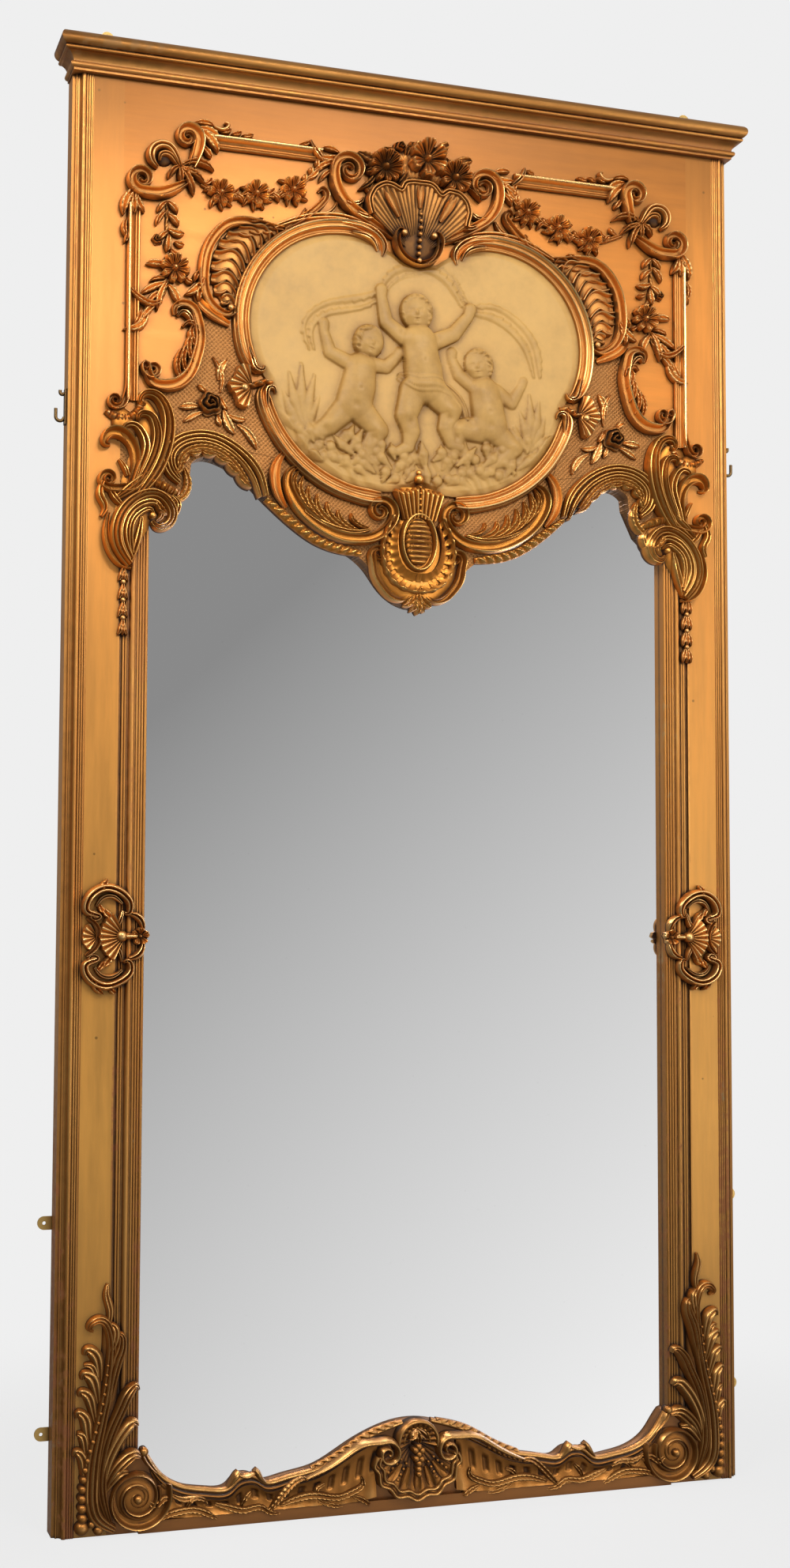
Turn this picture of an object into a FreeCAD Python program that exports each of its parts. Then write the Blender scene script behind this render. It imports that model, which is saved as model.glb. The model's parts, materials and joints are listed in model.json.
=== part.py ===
import FreeCAD
import Part
import math
import os

from FreeCAD import Vector

# A tall giltwood pier mirror in millimetres. The wall side is the plane y = 0, the front looks along -Y,
# +Z is up, and the origin is at the middle of the foot, on the wall side. Ornament is drawn for the right
# half, with x from the centre line, and the left half is its mirror image. It is drawn to suit a panel of
# drawn_half_width and grows with the panel's own width.

# Carcass
panel_half_width = 500.0
drawn_half_width = 500.0
panel_height = 2085.0
carcass_depth = 45.0
board_thickness = 17.0
rail_height = 50.0
bottom_rail_height = 30.0

# Sight opening, glass and back
sight_share = 0.822
sight_moulding_width = 44.0
sight_moulding_foot = 110.0
sight_moulding_top = 26.0
glass_lap = 19.0
glass_clearance = 1.0
glass_thickness = 6.0
glass_rise = 165.0
backboard_thickness = 12.0
backboard_joint = 1.0
batten_height = 60.0
batten_lap = 24.0
batten_shares = [0.175, 0.5, 0.825]

# Outer mouldings and cornice
outer_moulding_width = 30.0
outer_edge_drop = 11.0
cornice_setback = 9.0
cornice_height = 51.0
cornice_projection = 31.0
cornice_fillet = 3.5
cornice_fillet_projection = 11.0
cornice_bead = 9.0
cornice_cove = 13.0
cornice_band = 6.0
plinth_height = 16.0
plinth_projection = 8.0

# Brass plates, screws and hooks
plate_thickness = 2.5
plate_half_height = 9.5
side_plate_length = 50.0
top_plate_length = 62.0
lug_hole_radius = 2.5
side_lug_reach = 11.0
top_lug_reach = 26.0
side_plate_levels = [134.0, 427.0]
top_plate_inset = 26.0
plate_screw_offsets = [7.0, 19.0]
screw_head_radius = 4.0
screw_radius = 2.0
screw_length = 17.0
hook_level = 170.0
hook_height = 52.0
hook_plate_width = 12.0
hook_plate_thickness = 3.0
hook_bar_radius = 2.5
hook_reach = 12.0
hook_depth_place = 20.0

# Relief heights of the ornament above the panel
low_relief = 9.0
middle_relief = 15.0
high_relief = 24.0
crown_share = 0.5
least_width = 1.5

# Plaque and its lobed frame, heights above the spring line
crest_gap = 39.0
upper_lobe_centre = (120.0, 342.0)
upper_lobe_radius = 145.0
upper_lobe_angles = (112.0, -20.0)
lower_lobe_centre = (60.0, 280.0)
lower_lobe_radius = 178.0
lower_lobe_angles = (-18.0, -95.0)
frame_width = 27.0
frame_height = 15.0
plaque_thickness = 5.0

# Ornament of the head: centre lines as (x, height above the spring line, width)
crest_scroll_path = [(97, 612, 9), (112, 620, 13), (129, 611, 15), (135, 586, 17), (127, 558, 18),
                     (108, 538, 17), (86, 527, 12), (68, 524, 5)]
crest_volute = (106, 597, 17)
crest_leaf_path = [(165, 524, 9), (158, 538, 9), (150, 556, 4)]
crest_branch_angles = (102.0, 62.0)
crest_branch_width = 12.0
shell_hinge = (0.0, 497.0)
shell_radius = 84.0
shell_angles = (32.0, 148.0)
shell_flutes = 9
shell_ring_radius = 34.0
shell_ring_width = 9.0
crest_flower_places = [(-47, 598, 25), (10, 618, 28), (56, 596, 25), (-28, 632, 10)]
crest_leaf_bed = [(-88, 612, 14), (-50, 607, 34), (0, 612, 44), (50, 607, 34), (82, 614, 12)]
wing_edge = [(233, 501), (275, 503), (312, 478), (331, 430), (334, 390), (323, 355), (303, 337)]
wing_band_path = [(240, 497, 6), (274, 496, 12), (304, 472, 14), (322, 430, 14), (326, 390, 14), (316, 360, 12),
                  (302, 346, 8)]
wing_frame_angles = (55.0, -2.0)
wing_rib_angles = [8.0, 15.0, 22.0, 29.0, 36.0, 43.0]
wing_rib_reach = 24.0
wing_rib_width = 9.0
upper_corner_path = [(366, 626, 9), (351, 627, 12), (339, 615, 14), (335, 595, 14), (340, 575, 12), (353, 557, 6)]
upper_corner_volute = (361, 609, 17)
lower_corner_path = [(447, 545, 9), (450, 528, 12), (440, 513, 14), (415, 508, 14), (388, 518, 13), (368, 535, 11),
                     (356, 551, 6)]
lower_corner_volute = (432, 536, 17)
sprig_centre = (397.0, 581.0)
sprig_radius = 17.0
sprig_angles = (-70.0, 215.0)
sprig_width = 9.0
sprig_leaf_path = [(398, 562, 10), (382, 560, 10), (364, 563, 4)]
bar_height = 22.0
bar_relief = 12.0
reed_share = 0.4
top_bar_ends = (165.0, 325.0)
top_bar_level = 609.0
side_bar_width = 18.0
side_bar_place = 444.0
side_bar_ends = (214.0, 498.0)
swag_path = [(344, 550, 6), (325, 543, 9), (300, 531, 9), (250, 534, 9), (205, 548, 9), (175, 571, 8), (156, 592, 4)]
swag_flowers_left = [(310, 529), (256, 534), (200, 546)]
swag_flowers_right = [(280, 525), (227, 538), (175, 558)]
swag_flower_radius = 16.0
drop_path = [(393, 496, 6), (395, 470, 9), (389, 440, 9), (377, 412, 9), (384, 386, 9), (402, 366, 8), (430, 354, 4)]
drop_flower = (376, 411, 20)
garland_leaf_length = 24.0
garland_leaf_width = 11.0
spandrel_path = [(414, 268, 7), (416, 252, 11), (409, 239, 12), (392, 231, 15), (365, 234, 16), (344, 260, 16),
                 (337, 300, 16), (344, 330, 15), (361, 345, 12), (374, 338, 6)]
spandrel_volute = (402, 257, 12)
rose_place = (320, 215, 18)
rose_leaves = [((311, 230), (298, 278)), ((334, 208), (363, 199)), ((309, 204), (284, 188)), ((296, 196), (258, 158))]
rose_leaf_width = 13.0
side_shell_hinge = (242.0, 254.0)
side_shell_radius = 50.0
side_shell_angles = (-58.0, 33.0)
side_shell_flutes = 5
arch_path = [(372, 136, 16), (356, 148, 28), (330, 150, 34), (300, 143, 34), (270, 125, 32), (246, 102, 26),
             (228, 82, 12)]
apron_scroll_path = [(214, 132, 14), (206, 102, 15), (190, 75, 16), (160, 51, 16), (125, 36, 16), (92, 32, 15),
                     (68, 41, 13), (52, 60, 10), (56, 78, 7)]
apron_volute = (65, 73, 10)
rope_path = [(228, 71, 9), (180, 39, 11), (140, 21, 11), (102, 7, 8)]
cartouche_edge = [(0, 121), (22, 117), (46, 108), (30, 70), (33, 42), (50, 22), (66, 4), (60, -26), (42, -50),
                  (20, -65), (0, -78)]
cabochon_place = (0.0, 24.0)
cabochon_half_width = 24.0
cabochon_half_height = 38.0

# Lower edge of the apron board, from the stile to the centre line: (x, height above the spring line)
apron_ear_edge = [(372, 62), (352, 104)]
apron_arch_edge = [(350, 122), (330, 133), (300, 127), (265, 106), (232, 75), (180, 40), (140, 22), (100, 4),
                   (76, -16), (60, -38), (40, -58), (15, -70), (0, -72)]

# Ornament tied to the sight edge: x outward from that edge
ear_bands = [
    [(22, 236, 8), (2, 218, 20), (-15, 190, 30), (-15, 155, 38), (-2, 120, 44), (22, 88, 46), (42, 55, 40),
     (48, 20, 32), (43, -8, 20), (36, -28, 6)],
    [(14, 148, 28), (38, 160, 26), (56, 176, 20), (60, 194, 8)],
    [(26, 92, 26), (54, 98, 22), (72, 92, 12), (78, 74, 5)],
    [(-4, 128, 24), (-30, 110, 20), (-54, 102, 8)],
    [(4, 96, 26), (-36, 84, 18), (-60, 75, 7)],
    [(14, 62, 30), (-8, 54, 28), (-26, 44, 20), (-30, 32, 8)],
]
ear_volutes = [(62, 194, 11), (76, 84, 12), (-16, 40, 17)]
husk_offset = 38.0
husk_top = -31.0
husk_pitch = 26.0
husk_count = 4
husk_width = 14.0
clasp_share = 0.5965
clasp_bands = [
    [(12, 32, 7), (12, 52, 11), (32, 66, 13), (60, 62, 15), (80, 44, 15), (84, 26, 9), (74, 20, 5)],
    [(14, -38, 7), (20, -54, 11), (40, -63, 13), (64, -56, 15), (84, -38, 13), (82, -24, 6)],
    [(-2, 0, 10), (20, 0, 12), (34, 0, 20), (56, 0, 44), (72, 0, 40)],
    [(72, -30, 14), (74, -10, 18), (74, 10, 18), (72, 30, 14)],
    [(10, -40, 8), (2, -22, 10), (0, 0, 14), (2, 22, 10), (10, 36, 8)],
]
plume_path = [(41, 336, 4), (47, 300, 9), (45, 250, 13), (51, 200, 18), (61, 150, 22), (66, 100, 26), (60, 56, 26),
              (40, 20, 16), (16, 8, 6)]
plume_volute = (11, 46, 36)
plume_leaves = [((47, 188), (72, 224)), ((56, 140), (81, 182)), ((60, 96), (86, 126)), ((48, 230), (20, 266)),
                ((52, 150), (6, 206)), ((58, 110), (6, 152)), ((46, 72), (14, 108)), ((46, 278), (66, 292))]
plume_leaf_width = 20.0

# Base frieze: its upper edge from the sight edge to the centre line
frieze_edge = [(406, 108), (398, 98), (380, 74), (350, 56), (310, 48), (278, 50), (268, 60), (242, 62), (230, 54),
               (200, 56), (150, 66), (100, 92), (62, 110), (0, 123)]
frieze_rim_width = 13.0
frieze_rim_inset = 7.0
base_shell_hinge = (0.0, 98.0)
base_shell_radius = 84.0
base_shell_angles = (222.0, 318.0)
base_shell_flutes = 7
base_rosette_radius = 22.0

# Planes and edges that the pieces share
growth = panel_half_width / drawn_half_width
crest_top = max(z + radius for x, z, radius in crest_flower_places)
spring_height = panel_height - crest_gap - growth * crest_top
sight_half_width = sight_share * panel_half_width
moulding_foot = growth * sight_moulding_foot
moulding_top = spring_height + growth * sight_moulding_top
front = -carcass_depth
glass_front = front + board_thickness
glass_back = glass_front + glass_thickness
batten_front = glass_back + backboard_thickness
outer_edge = panel_half_width + outer_moulding_width
moulding_step = sight_half_width + sight_moulding_width
rebate_edge = sight_half_width + glass_lap + glass_clearance
glass_half_width = rebate_edge - glass_clearance
glass_foot = bottom_rail_height + glass_clearance
glass_top = spring_height + growth * glass_rise
mid_rail_foot = glass_top + glass_clearance
cornice_top = panel_height + cornice_height
block_half_width = outer_edge - cornice_setback
top_plate_offset = panel_half_width - top_plate_inset
batten_levels = [glass_foot + share * (glass_top - glass_foot) for share in batten_shares]


def box(x_low, x_high, y_low, y_high, z_low, z_high):
    """A block between two corners."""
    block = Part.makeBox(x_high - x_low, y_high - y_low, z_high - z_low)
    block.translate(Vector(x_low, y_low, z_low))
    return block


def mirrored(shape):
    """The same piece for the other half of the mirror."""
    return shape.mirror(Vector(0, 0, 0), Vector(1, 0, 0))


def joined(solids):
    """One solid from solids that overlap."""
    if len(solids) == 1:
        return solids[0]
    return solids[0].multiFuse(solids[1:]).removeSplitter()


def spline(points):
    """A smooth edge through points."""
    curve = Part.BSplineCurve()
    curve.interpolate(points)
    return curve.toShape()


def outline(steps, place):
    """A closed face: a pair is a straight line to that point, four numbers are an arc through the first pair."""
    edges = []
    here = place(*steps[0])
    for step in steps[1:] + steps[:1]:
        there = place(*step[-2:])
        if len(step) == 4:
            edges.append(Part.Arc(here, place(*step[:2]), there).toShape())
        else:
            edges.append(Part.LineSegment(here, there).toShape())
        here = there
    return Part.Face(Part.Wire(edges))


def placed(shape, level=spring_height, edge=0.0):
    """Drawn ornament grown to the panel's width and set on its front, at a level and outward from an edge."""
    grown = shape.scaled(growth, Vector(0, 0, 0))
    grown.translate(Vector(edge, front, level))
    return grown


def drawn(points):
    """Points of a drawing, in the plane that will lie on the panel's front."""
    return [Vector(x, 0, z) for x, z in points]


def band(path, height):
    """A raised band that follows a centre line of (x, z, width) and narrows to its crown."""
    points = [Vector(x, 0, z) for x, z, width in path]
    marks = [0.0]
    for start, end in zip(points, points[1:]):
        marks.append(marks[-1] + start.distanceToPoint(end))
    curve = Part.BSplineCurve()
    curve.interpolate(Points=points, Parameters=marks)
    stations = []
    for index in range(len(path) - 1):
        for part in range(3):
            share = part / 3.0
            mark = marks[index] + share * (marks[index + 1] - marks[index])
            width = path[index][2] + share * (path[index + 1][2] - path[index][2])
            stations.append((mark, width))
    stations.append((marks[-1], path[-1][2]))

    def ring(share, rise):
        sides = ([], [])
        for mark, width in stations:
            centre = curve.value(mark) + Vector(0, -rise, 0)
            along = curve.tangent(mark)[0]
            across = Vector(-along.z, 0, along.x) * (share * max(width, least_width) / 2.0)
            sides[0].append(centre + across)
            sides[1].append(centre - across)
        first, second = sides
        second.reverse()
        edges = [spline(first), Part.LineSegment(first[-1], second[0]).toShape(), spline(second)]
        edges.append(Part.LineSegment(second[-1], first[0]).toShape())
        return Part.Wire(edges)

    return Part.makeLoft([ring(1.0, 0.0), ring(crown_share, height)], True, True)


def stud(place, height):
    """A round boss that narrows towards its top: a volute, a flower or a rose."""
    x, z, radius = place
    return Part.makeCone(radius, radius * crown_share, height, Vector(x, 0, z), Vector(0, -1, 0))


def leaf(root, tip, width, height):
    """A pointed leaf from its root to its tip."""
    middle = ((root[0] + tip[0]) / 2.0, (root[1] + tip[1]) / 2.0)
    path = [(root[0], root[1], width / 2.0), (middle[0], middle[1], width), (tip[0], tip[1], least_width)]
    return band(path, height)


def fan(hinge, radius, angles, flutes, height):
    """A fluted shell: ribs that widen from the hinge to a scalloped rim."""
    step = math.radians(angles[1] - angles[0]) / flutes
    rib_width = 2.4 * radius * math.sin(abs(step) / 2.0)
    ribs = []
    for index in range(flutes):
        angle = math.radians(angles[0]) + (index + 0.5) * step
        path = []
        for share, width in ((0.12, 0.3), (0.55, 0.75), (0.94, 1.0), (1.0, 0.55)):
            x = hinge[0] + share * radius * math.cos(angle)
            z = hinge[1] + share * radius * math.sin(angle)
            path.append((x, z, width * rib_width))
        ribs.append(band(path, height * (0.8 + 0.2 * (index % 2))))
    return ribs


def on_circle(centre, radius, angle):
    """A point of a circle, from an angle in degrees."""
    return (centre[0] + radius * math.cos(math.radians(angle)), centre[1] + radius * math.sin(math.radians(angle)))


def arc_path(centre, radius, angles, widths):
    """A centre line along an arc, with a width at each of its evenly spaced points."""
    last = len(widths) - 1
    path = []
    for index, width in enumerate(widths):
        angle = angles[0] + (angles[1] - angles[0]) * index / last
        path.append(on_circle(centre, radius, angle) + (width,))
    return path


def screw(x, z):
    """A countersunk wood screw driven from the back, flush with the wall side."""
    head_depth = screw_head_radius - screw_radius
    head = Part.makeCone(screw_head_radius, screw_radius, head_depth, Vector(x, 0, z), Vector(0, -1, 0))
    shank = Part.makeCylinder(screw_radius, screw_length, Vector(x, 0, z), Vector(0, -1, 0))
    return head.fuse(shank).removeSplitter()


def mirror_plate(length):
    """A brass plate that lies along +X with its lug hole at the origin."""
    half = plate_half_height
    inner = half - length
    steps = [(inner, -half), (0, -half), (half, 0, 0, half), (inner, half)]
    face = outline(steps, lambda u, v: Vector(u, 0, v))
    blank = face.extrude(Vector(0, -plate_thickness, 0))
    hole = Part.makeCylinder(lug_hole_radius, plate_thickness, Vector(0, 0, 0), Vector(0, -1, 0))
    return blank.cut(hole)


def batten_screws():
    """Two screws for each back batten, in its lapped ends."""
    reach = rebate_edge + batten_lap / 2.0
    return [screw(side * reach, level) for level in batten_levels for side in (-1, 1)]


def side_plates():
    """The four side plates and their screws."""
    hole = outer_edge + side_lug_reach
    inner = hole + plate_half_height - side_plate_length
    plates = []
    screws = []
    for level in side_plate_levels:
        plate = mirror_plate(side_plate_length)
        plate.translate(Vector(hole, 0, level))
        plates += [plate, mirrored(plate)]
        for offset in plate_screw_offsets:
            driven = screw(inner + offset, level)
            screws += [driven, mirrored(driven)]
    return plates, screws


def top_plates():
    """The two top plates and their screws."""
    hole = cornice_top + top_lug_reach
    inner = hole + plate_half_height - top_plate_length
    plates = []
    screws = []
    for x in (top_plate_offset, -top_plate_offset):
        plate = mirror_plate(top_plate_length)
        plate.rotate(Vector(0, 0, 0), Vector(0, 1, 0), -90)
        plate.translate(Vector(x, 0, hole))
        plates.append(plate)
        screws += [screw(x, inner + offset) for offset in plate_screw_offsets]
    return plates, screws


def cleared(piece, others):
    """A piece with the room of its neighbours taken out."""
    for other in others:
        if piece.BoundBox.intersect(other.BoundBox):
            piece = piece.cut(other)
    return piece


def stile(battens):
    """The right upright, stepped for the glass and notched for the battens."""
    face = box(moulding_step, panel_half_width, front, glass_front, 0, panel_height)
    back = box(rebate_edge, panel_half_width, glass_front, 0, 0, panel_height)
    return cleared(joined([face, back]), battens)


def back_battens():
    """Cross battens that hold the back boards, lapped into the stiles."""
    reach = rebate_edge + batten_lap
    half = batten_height / 2.0
    return [box(-reach, reach, batten_front, 0, level - half, level + half) for level in batten_levels]


def backboards():
    """Two boards behind the glass, side by side."""
    half = backboard_joint / 2.0
    right = box(half, glass_half_width, glass_back, batten_front, glass_foot, glass_top)
    return [right, mirrored(right)]


def rail(foot, top):
    """A cross member behind the front boards, between the stiles."""
    return box(-rebate_edge, rebate_edge, glass_front, 0, foot, top)


def frieze_top():
    """The upper edge of the base, from the sight edge to the centre line."""
    return [Vector(growth * x, front, growth * z) for x, z in frieze_edge]


def bottom_rail():
    """The foot rail, with a shaped front board behind the frieze."""
    edge = frieze_top()
    corner = Vector(moulding_step, front, moulding_foot)
    sight = Vector(sight_half_width, front, moulding_foot)
    foot = Vector(moulding_step, front, 0)
    middle = Vector(0, front, 0)
    edges = [Part.LineSegment(middle, foot).toShape(), Part.LineSegment(foot, corner).toShape()]
    edges += [Part.LineSegment(corner, sight).toShape(), Part.LineSegment(sight, edge[0]).toShape(), spline(edge)]
    edges.append(Part.LineSegment(edge[-1], middle).toShape())
    half = Part.Face(Part.Wire(edges)).extrude(Vector(0, board_thickness, 0))
    return joined([half, mirrored(half), rail(0, bottom_rail_height)])


def apron_board():
    """The shaped board whose lower edge is the arched top of the sight opening."""
    def raised(points):
        return [Vector(growth * x, front, spring_height + growth * z) for x, z in points]

    arch = raised(apron_arch_edge)
    top, foot = mid_rail_foot, moulding_top
    corners = [Vector(0, front, top), Vector(moulding_step, front, top), Vector(moulding_step, front, foot),
               Vector(sight_half_width, front, foot)] + raised(apron_ear_edge) + arch[:1]
    edges = [Part.LineSegment(start, end).toShape() for start, end in zip(corners, corners[1:])]
    edges.append(spline(arch))
    edges.append(Part.LineSegment(arch[-1], corners[0]).toShape())
    half = Part.Face(Part.Wire(edges)).extrude(Vector(0, board_thickness, 0))
    return joined([half, mirrored(half)])


def outer_moulding():
    """Reeded edge moulding that falls back towards the side of the frame."""
    wide = outer_moulding_width
    drop = -outer_edge_drop
    steps = [(0, 0), (1, 0), (2.7, 1.6, 4.4, 0.3), (6.1, 1.8, 7.8, 0.3), (9.5, 1.8, 11.2, 0.3), (14.5, 3.2, 17.8, -0.5),
             (19.2, -5, 22.5, -7), (24, -5.9, 25.5, -7.5), (26, drop + 1), (wide, drop), (wide, -carcass_depth),
             (0, -carcass_depth)]
    face = outline(steps, lambda u, v: Vector(panel_half_width + u, front - v, 0))
    return face.extrude(Vector(0, 0, panel_height))


def sight_moulding():
    """Reeded moulding beside the glass, from its sight bead to the flat of the stile."""
    wide = sight_moulding_width
    back = -board_thickness
    steps = [(0, back), (0, -2), (2.5, 0.2, 5, -1.5), (7, 0.4, 9, -1), (11, 0.9, 13, -0.5), (15, 1.4, 17, 0),
             (18.5, 0), (22.5, 3.8, 26.5, 0), (27.5, -3), (29.5, -3), (31.5, -1.2, 33.5, -3), (35.5, -1.2, 37.5, -3),
             (38, -4.5), (wide - 3, -4.5), (wide - 2.5, 0), (wide, 0), (wide, back)]
    face = outline(steps, lambda u, v: Vector(sight_half_width + u, front - v, moulding_foot))
    return face.extrude(Vector(0, 0, moulding_top - moulding_foot))


def cornice_steps():
    """The cornice's profile: projection from its block and height above its underside."""
    out = cornice_projection
    foot = cornice_fillet_projection
    bead_top = cornice_fillet + cornice_bead
    cove_top = bead_top + cornice_cove
    band_top = cove_top + cornice_band
    band_out = out - 8.5
    return [(0, 0), (foot, 0), (foot, cornice_fillet), (foot + cornice_bead / 2.0, (cornice_fillet + bead_top) / 2.0,
            foot, bead_top), (foot + 3, cove_top - 5, band_out - 2.5, cove_top), (band_out, cove_top),
            (band_out + 2.5, (cove_top + band_top) / 2.0, band_out, band_top),
            (out, band_top + 0.45 * (cornice_height - band_top), out - 6, cornice_height), (0, cornice_height)]


def mitre(corner_first):
    """The corner prism that one side of a mitre gives up."""
    x, y, reach = block_half_width, front, cornice_projection + 1.0
    third = (x + reach, y) if corner_first else (x, y - reach)
    steps = [(x, y), (x + reach, y - reach), third]
    face = outline(steps, lambda u, v: Vector(u, v, panel_height))
    return face.extrude(Vector(0, 0, cornice_height))


def cornice_front():
    """The long front length of the cornice, mitred at both ends."""
    reach = block_half_width + cornice_projection
    face = outline(cornice_steps(), lambda d, z: Vector(-reach, front - d, panel_height + z))
    length = face.extrude(Vector(2 * reach, 0, 0))
    wedge = mitre(True)
    return length.cut(wedge).cut(mirrored(wedge))


def cornice_return():
    """The short right end of the cornice."""
    face = outline(cornice_steps(), lambda d, z: Vector(block_half_width + d, 0, panel_height + z))
    length = face.extrude(Vector(0, front - cornice_projection, 0))
    return length.cut(mitre(False))


def lobe(centre, radius, angles):
    """One lobe of the plaque's frame: its moulded section turned about the lobe's centre."""
    wide, high = frame_width, frame_height
    steps = [(0, 0), (0, 4), (3, 5), (6, 9, 9, 6), (11, 5, 13, 7), (17, high, 22, 8), (25, 6, wide, 3), (wide, 0)]
    axis_point = Vector(centre[0], 0, centre[1])
    start = math.radians(angles[0])
    along = Vector(math.cos(start), 0, math.sin(start))
    face = outline(steps, lambda u, v: axis_point + along * (radius + u) + Vector(0, -v, 0))
    return face.revolve(axis_point, Vector(0, -1, 0), angles[1] - angles[0])


def relief_plaque():
    """The lobed plaster plate inside the frame."""
    def lobe_edge(centre, radius, angles):
        middle = (angles[0] + angles[1]) / 2.0
        return drawn([on_circle(centre, radius, angle) for angle in (angles[0], middle, angles[1])])

    upper = lobe_edge(upper_lobe_centre, upper_lobe_radius, upper_lobe_angles)
    lower = lobe_edge(lower_lobe_centre, lower_lobe_radius, lower_lobe_angles)
    top, foot = Vector(0, 0, upper[0].z), Vector(0, 0, lower[2].z)
    edges = [Part.LineSegment(top, upper[0]).toShape(), Part.Arc(*upper).toShape()]
    edges += [Part.LineSegment(upper[2], lower[0]).toShape(), Part.Arc(*lower).toShape()]
    edges += [Part.LineSegment(lower[2], foot).toShape(), Part.LineSegment(foot, top).toShape()]
    half = Part.Face(Part.Wire(edges)).extrude(Vector(0, -plaque_thickness, 0))
    return joined([half, mirrored(half)])


def crest_scroll():
    """The C-scroll beside the crest, with its branch along the frame and a leaf."""
    radius = upper_lobe_radius + frame_width + crest_branch_width / 2.0
    widths = [crest_branch_width, crest_branch_width, 0.8 * crest_branch_width, 4.0]
    branch = arc_path(upper_lobe_centre, radius, crest_branch_angles, widths)
    return joined([band(crest_scroll_path, middle_relief), stud(crest_volute, high_relief),
                   band(branch, low_relief), band(crest_leaf_path, low_relief)])


def crest_shell():
    """The fluted crest shell over its crescent ring."""
    ring = arc_path(shell_hinge, shell_ring_radius, (180.0, 360.0), [shell_ring_width] * 5)
    bowl = stud((shell_hinge[0], shell_hinge[1], shell_ring_radius), low_relief)
    return joined(fan(shell_hinge, shell_radius, shell_angles, shell_flutes, high_relief)
                  + [band(ring, middle_relief), bowl])


def crest_flowers():
    """Flowers in a bed of leaves above the shell."""
    flowers = [stud(place, high_relief) for place in crest_flower_places]
    return joined([band(crest_leaf_bed, middle_relief)] + flowers)


def rocaille_wing():
    """A ribbed wing that hugs the frame, with a raised band along its outer edge."""
    radius = upper_lobe_radius + frame_width
    first, last = wing_frame_angles
    arc = drawn([on_circle(upper_lobe_centre, radius, angle) for angle in (last, (first + last) / 2.0, first)])
    edge = drawn(wing_edge)
    edges = [Part.LineSegment(arc[2], edge[0]).toShape(), spline(edge)]
    edges += [Part.LineSegment(edge[-1], arc[0]).toShape(), Part.Arc(*arc).toShape()]
    field = Part.Face(Part.Wire(edges)).extrude(Vector(0, -low_relief / 2.0, 0))
    ribs = []
    for angle in wing_rib_angles:
        ends = [on_circle(upper_lobe_centre, radius + reach, angle) for reach in (wing_rib_width, wing_rib_reach)]
        ribs.append(band([end + (wing_rib_width,) for end in ends], low_relief))
    return joined([field, band(wing_band_path, middle_relief)] + ribs)


def reeded_bar(length, height):
    """A straight bar of three reeds, along +X from the origin and seated on the panel."""
    third = height / 3.0
    rise = bar_relief - reed_share * third
    steps = [(0, 0), (0, rise), (third / 2.0, bar_relief, third, rise), (1.5 * third, bar_relief, 2 * third, rise),
             (2.5 * third, bar_relief, height, rise), (height, 0)]
    face = outline(steps, lambda u, v: Vector(0, -v, u - height / 2.0))
    return face.extrude(Vector(length, 0, 0))


def top_bar():
    """The level bar beside the crest."""
    bar = reeded_bar(top_bar_ends[1] - top_bar_ends[0], bar_height)
    bar.translate(Vector(top_bar_ends[0], 0, top_bar_level))
    return bar


def side_bar():
    """The upright bar near the edge of the panel."""
    bar = reeded_bar(side_bar_ends[1] - side_bar_ends[0], side_bar_width)
    bar.rotate(Vector(0, 0, 0), Vector(0, 1, 0), -90)
    bar.translate(Vector(side_bar_place, 0, side_bar_ends[0]))
    return bar


def corner_scrolls():
    """Two C-scrolls that meet at the corner of the border, with a curled sprig between them."""
    sprig = arc_path(sprig_centre, sprig_radius, sprig_angles, [sprig_width] * 7)
    return joined([band(upper_corner_path, middle_relief), stud(upper_corner_volute, high_relief),
                   band(lower_corner_path, middle_relief), stud(lower_corner_volute, high_relief),
                   band(sprig, low_relief), band(sprig_leaf_path, low_relief)])


def garland_leaves(path):
    """Leaves to both sides of a garland's stem."""
    leaves = []
    for here, there in zip(path, path[1:]):
        x, z = (here[0] + there[0]) / 2.0, (here[1] + there[1]) / 2.0
        along = math.atan2(there[1] - here[1], there[0] - here[0])
        for turn in (-50, 50):
            angle = along + math.radians(turn)
            tip = (x + garland_leaf_length * math.cos(angle), z + garland_leaf_length * math.sin(angle))
            leaves.append(leaf((x, z), tip, garland_leaf_width, low_relief))
    return leaves


def swag(flower_places):
    """A hanging swag with three flowers."""
    flowers = [stud(place + (swag_flower_radius,), middle_relief) for place in flower_places]
    return joined([band(swag_path, low_relief)] + flowers + garland_leaves(swag_path[1:-1]))


def drop_garland():
    """A garland that drops from the corner scrolls to the side bar."""
    return joined([band(drop_path, low_relief), stud(drop_flower, middle_relief)] + garland_leaves(drop_path[:-1]))


def spandrel_scroll():
    """The acanthus C-scroll below the drop garland."""
    return joined([band(spandrel_path, middle_relief), stud(spandrel_volute, high_relief)])


def rose_spray():
    """A rose with its leaves, and the small shell at the cusp of the plaque's frame."""
    leaves = [leaf(root, tip, rose_leaf_width, low_relief) for root, tip in rose_leaves]
    rose = joined([stud(rose_place, high_relief)] + leaves)
    shell = joined(fan(side_shell_hinge, side_shell_radius, side_shell_angles, side_shell_flutes, middle_relief))
    return rose.fuse(shell)


def ear():
    """The acanthus ear at the corner of the sight opening."""
    strands = [band(path, high_relief) for path in ear_bands]
    return joined(strands + [stud(place, high_relief) for place in ear_volutes])


def apron_scroll():
    """The arch moulding, the rope edge and the scroll of the apron."""
    return joined([band(arch_path, middle_relief), band(rope_path, low_relief),
                   band(apron_scroll_path, middle_relief), stud(apron_volute, high_relief)])


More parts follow.
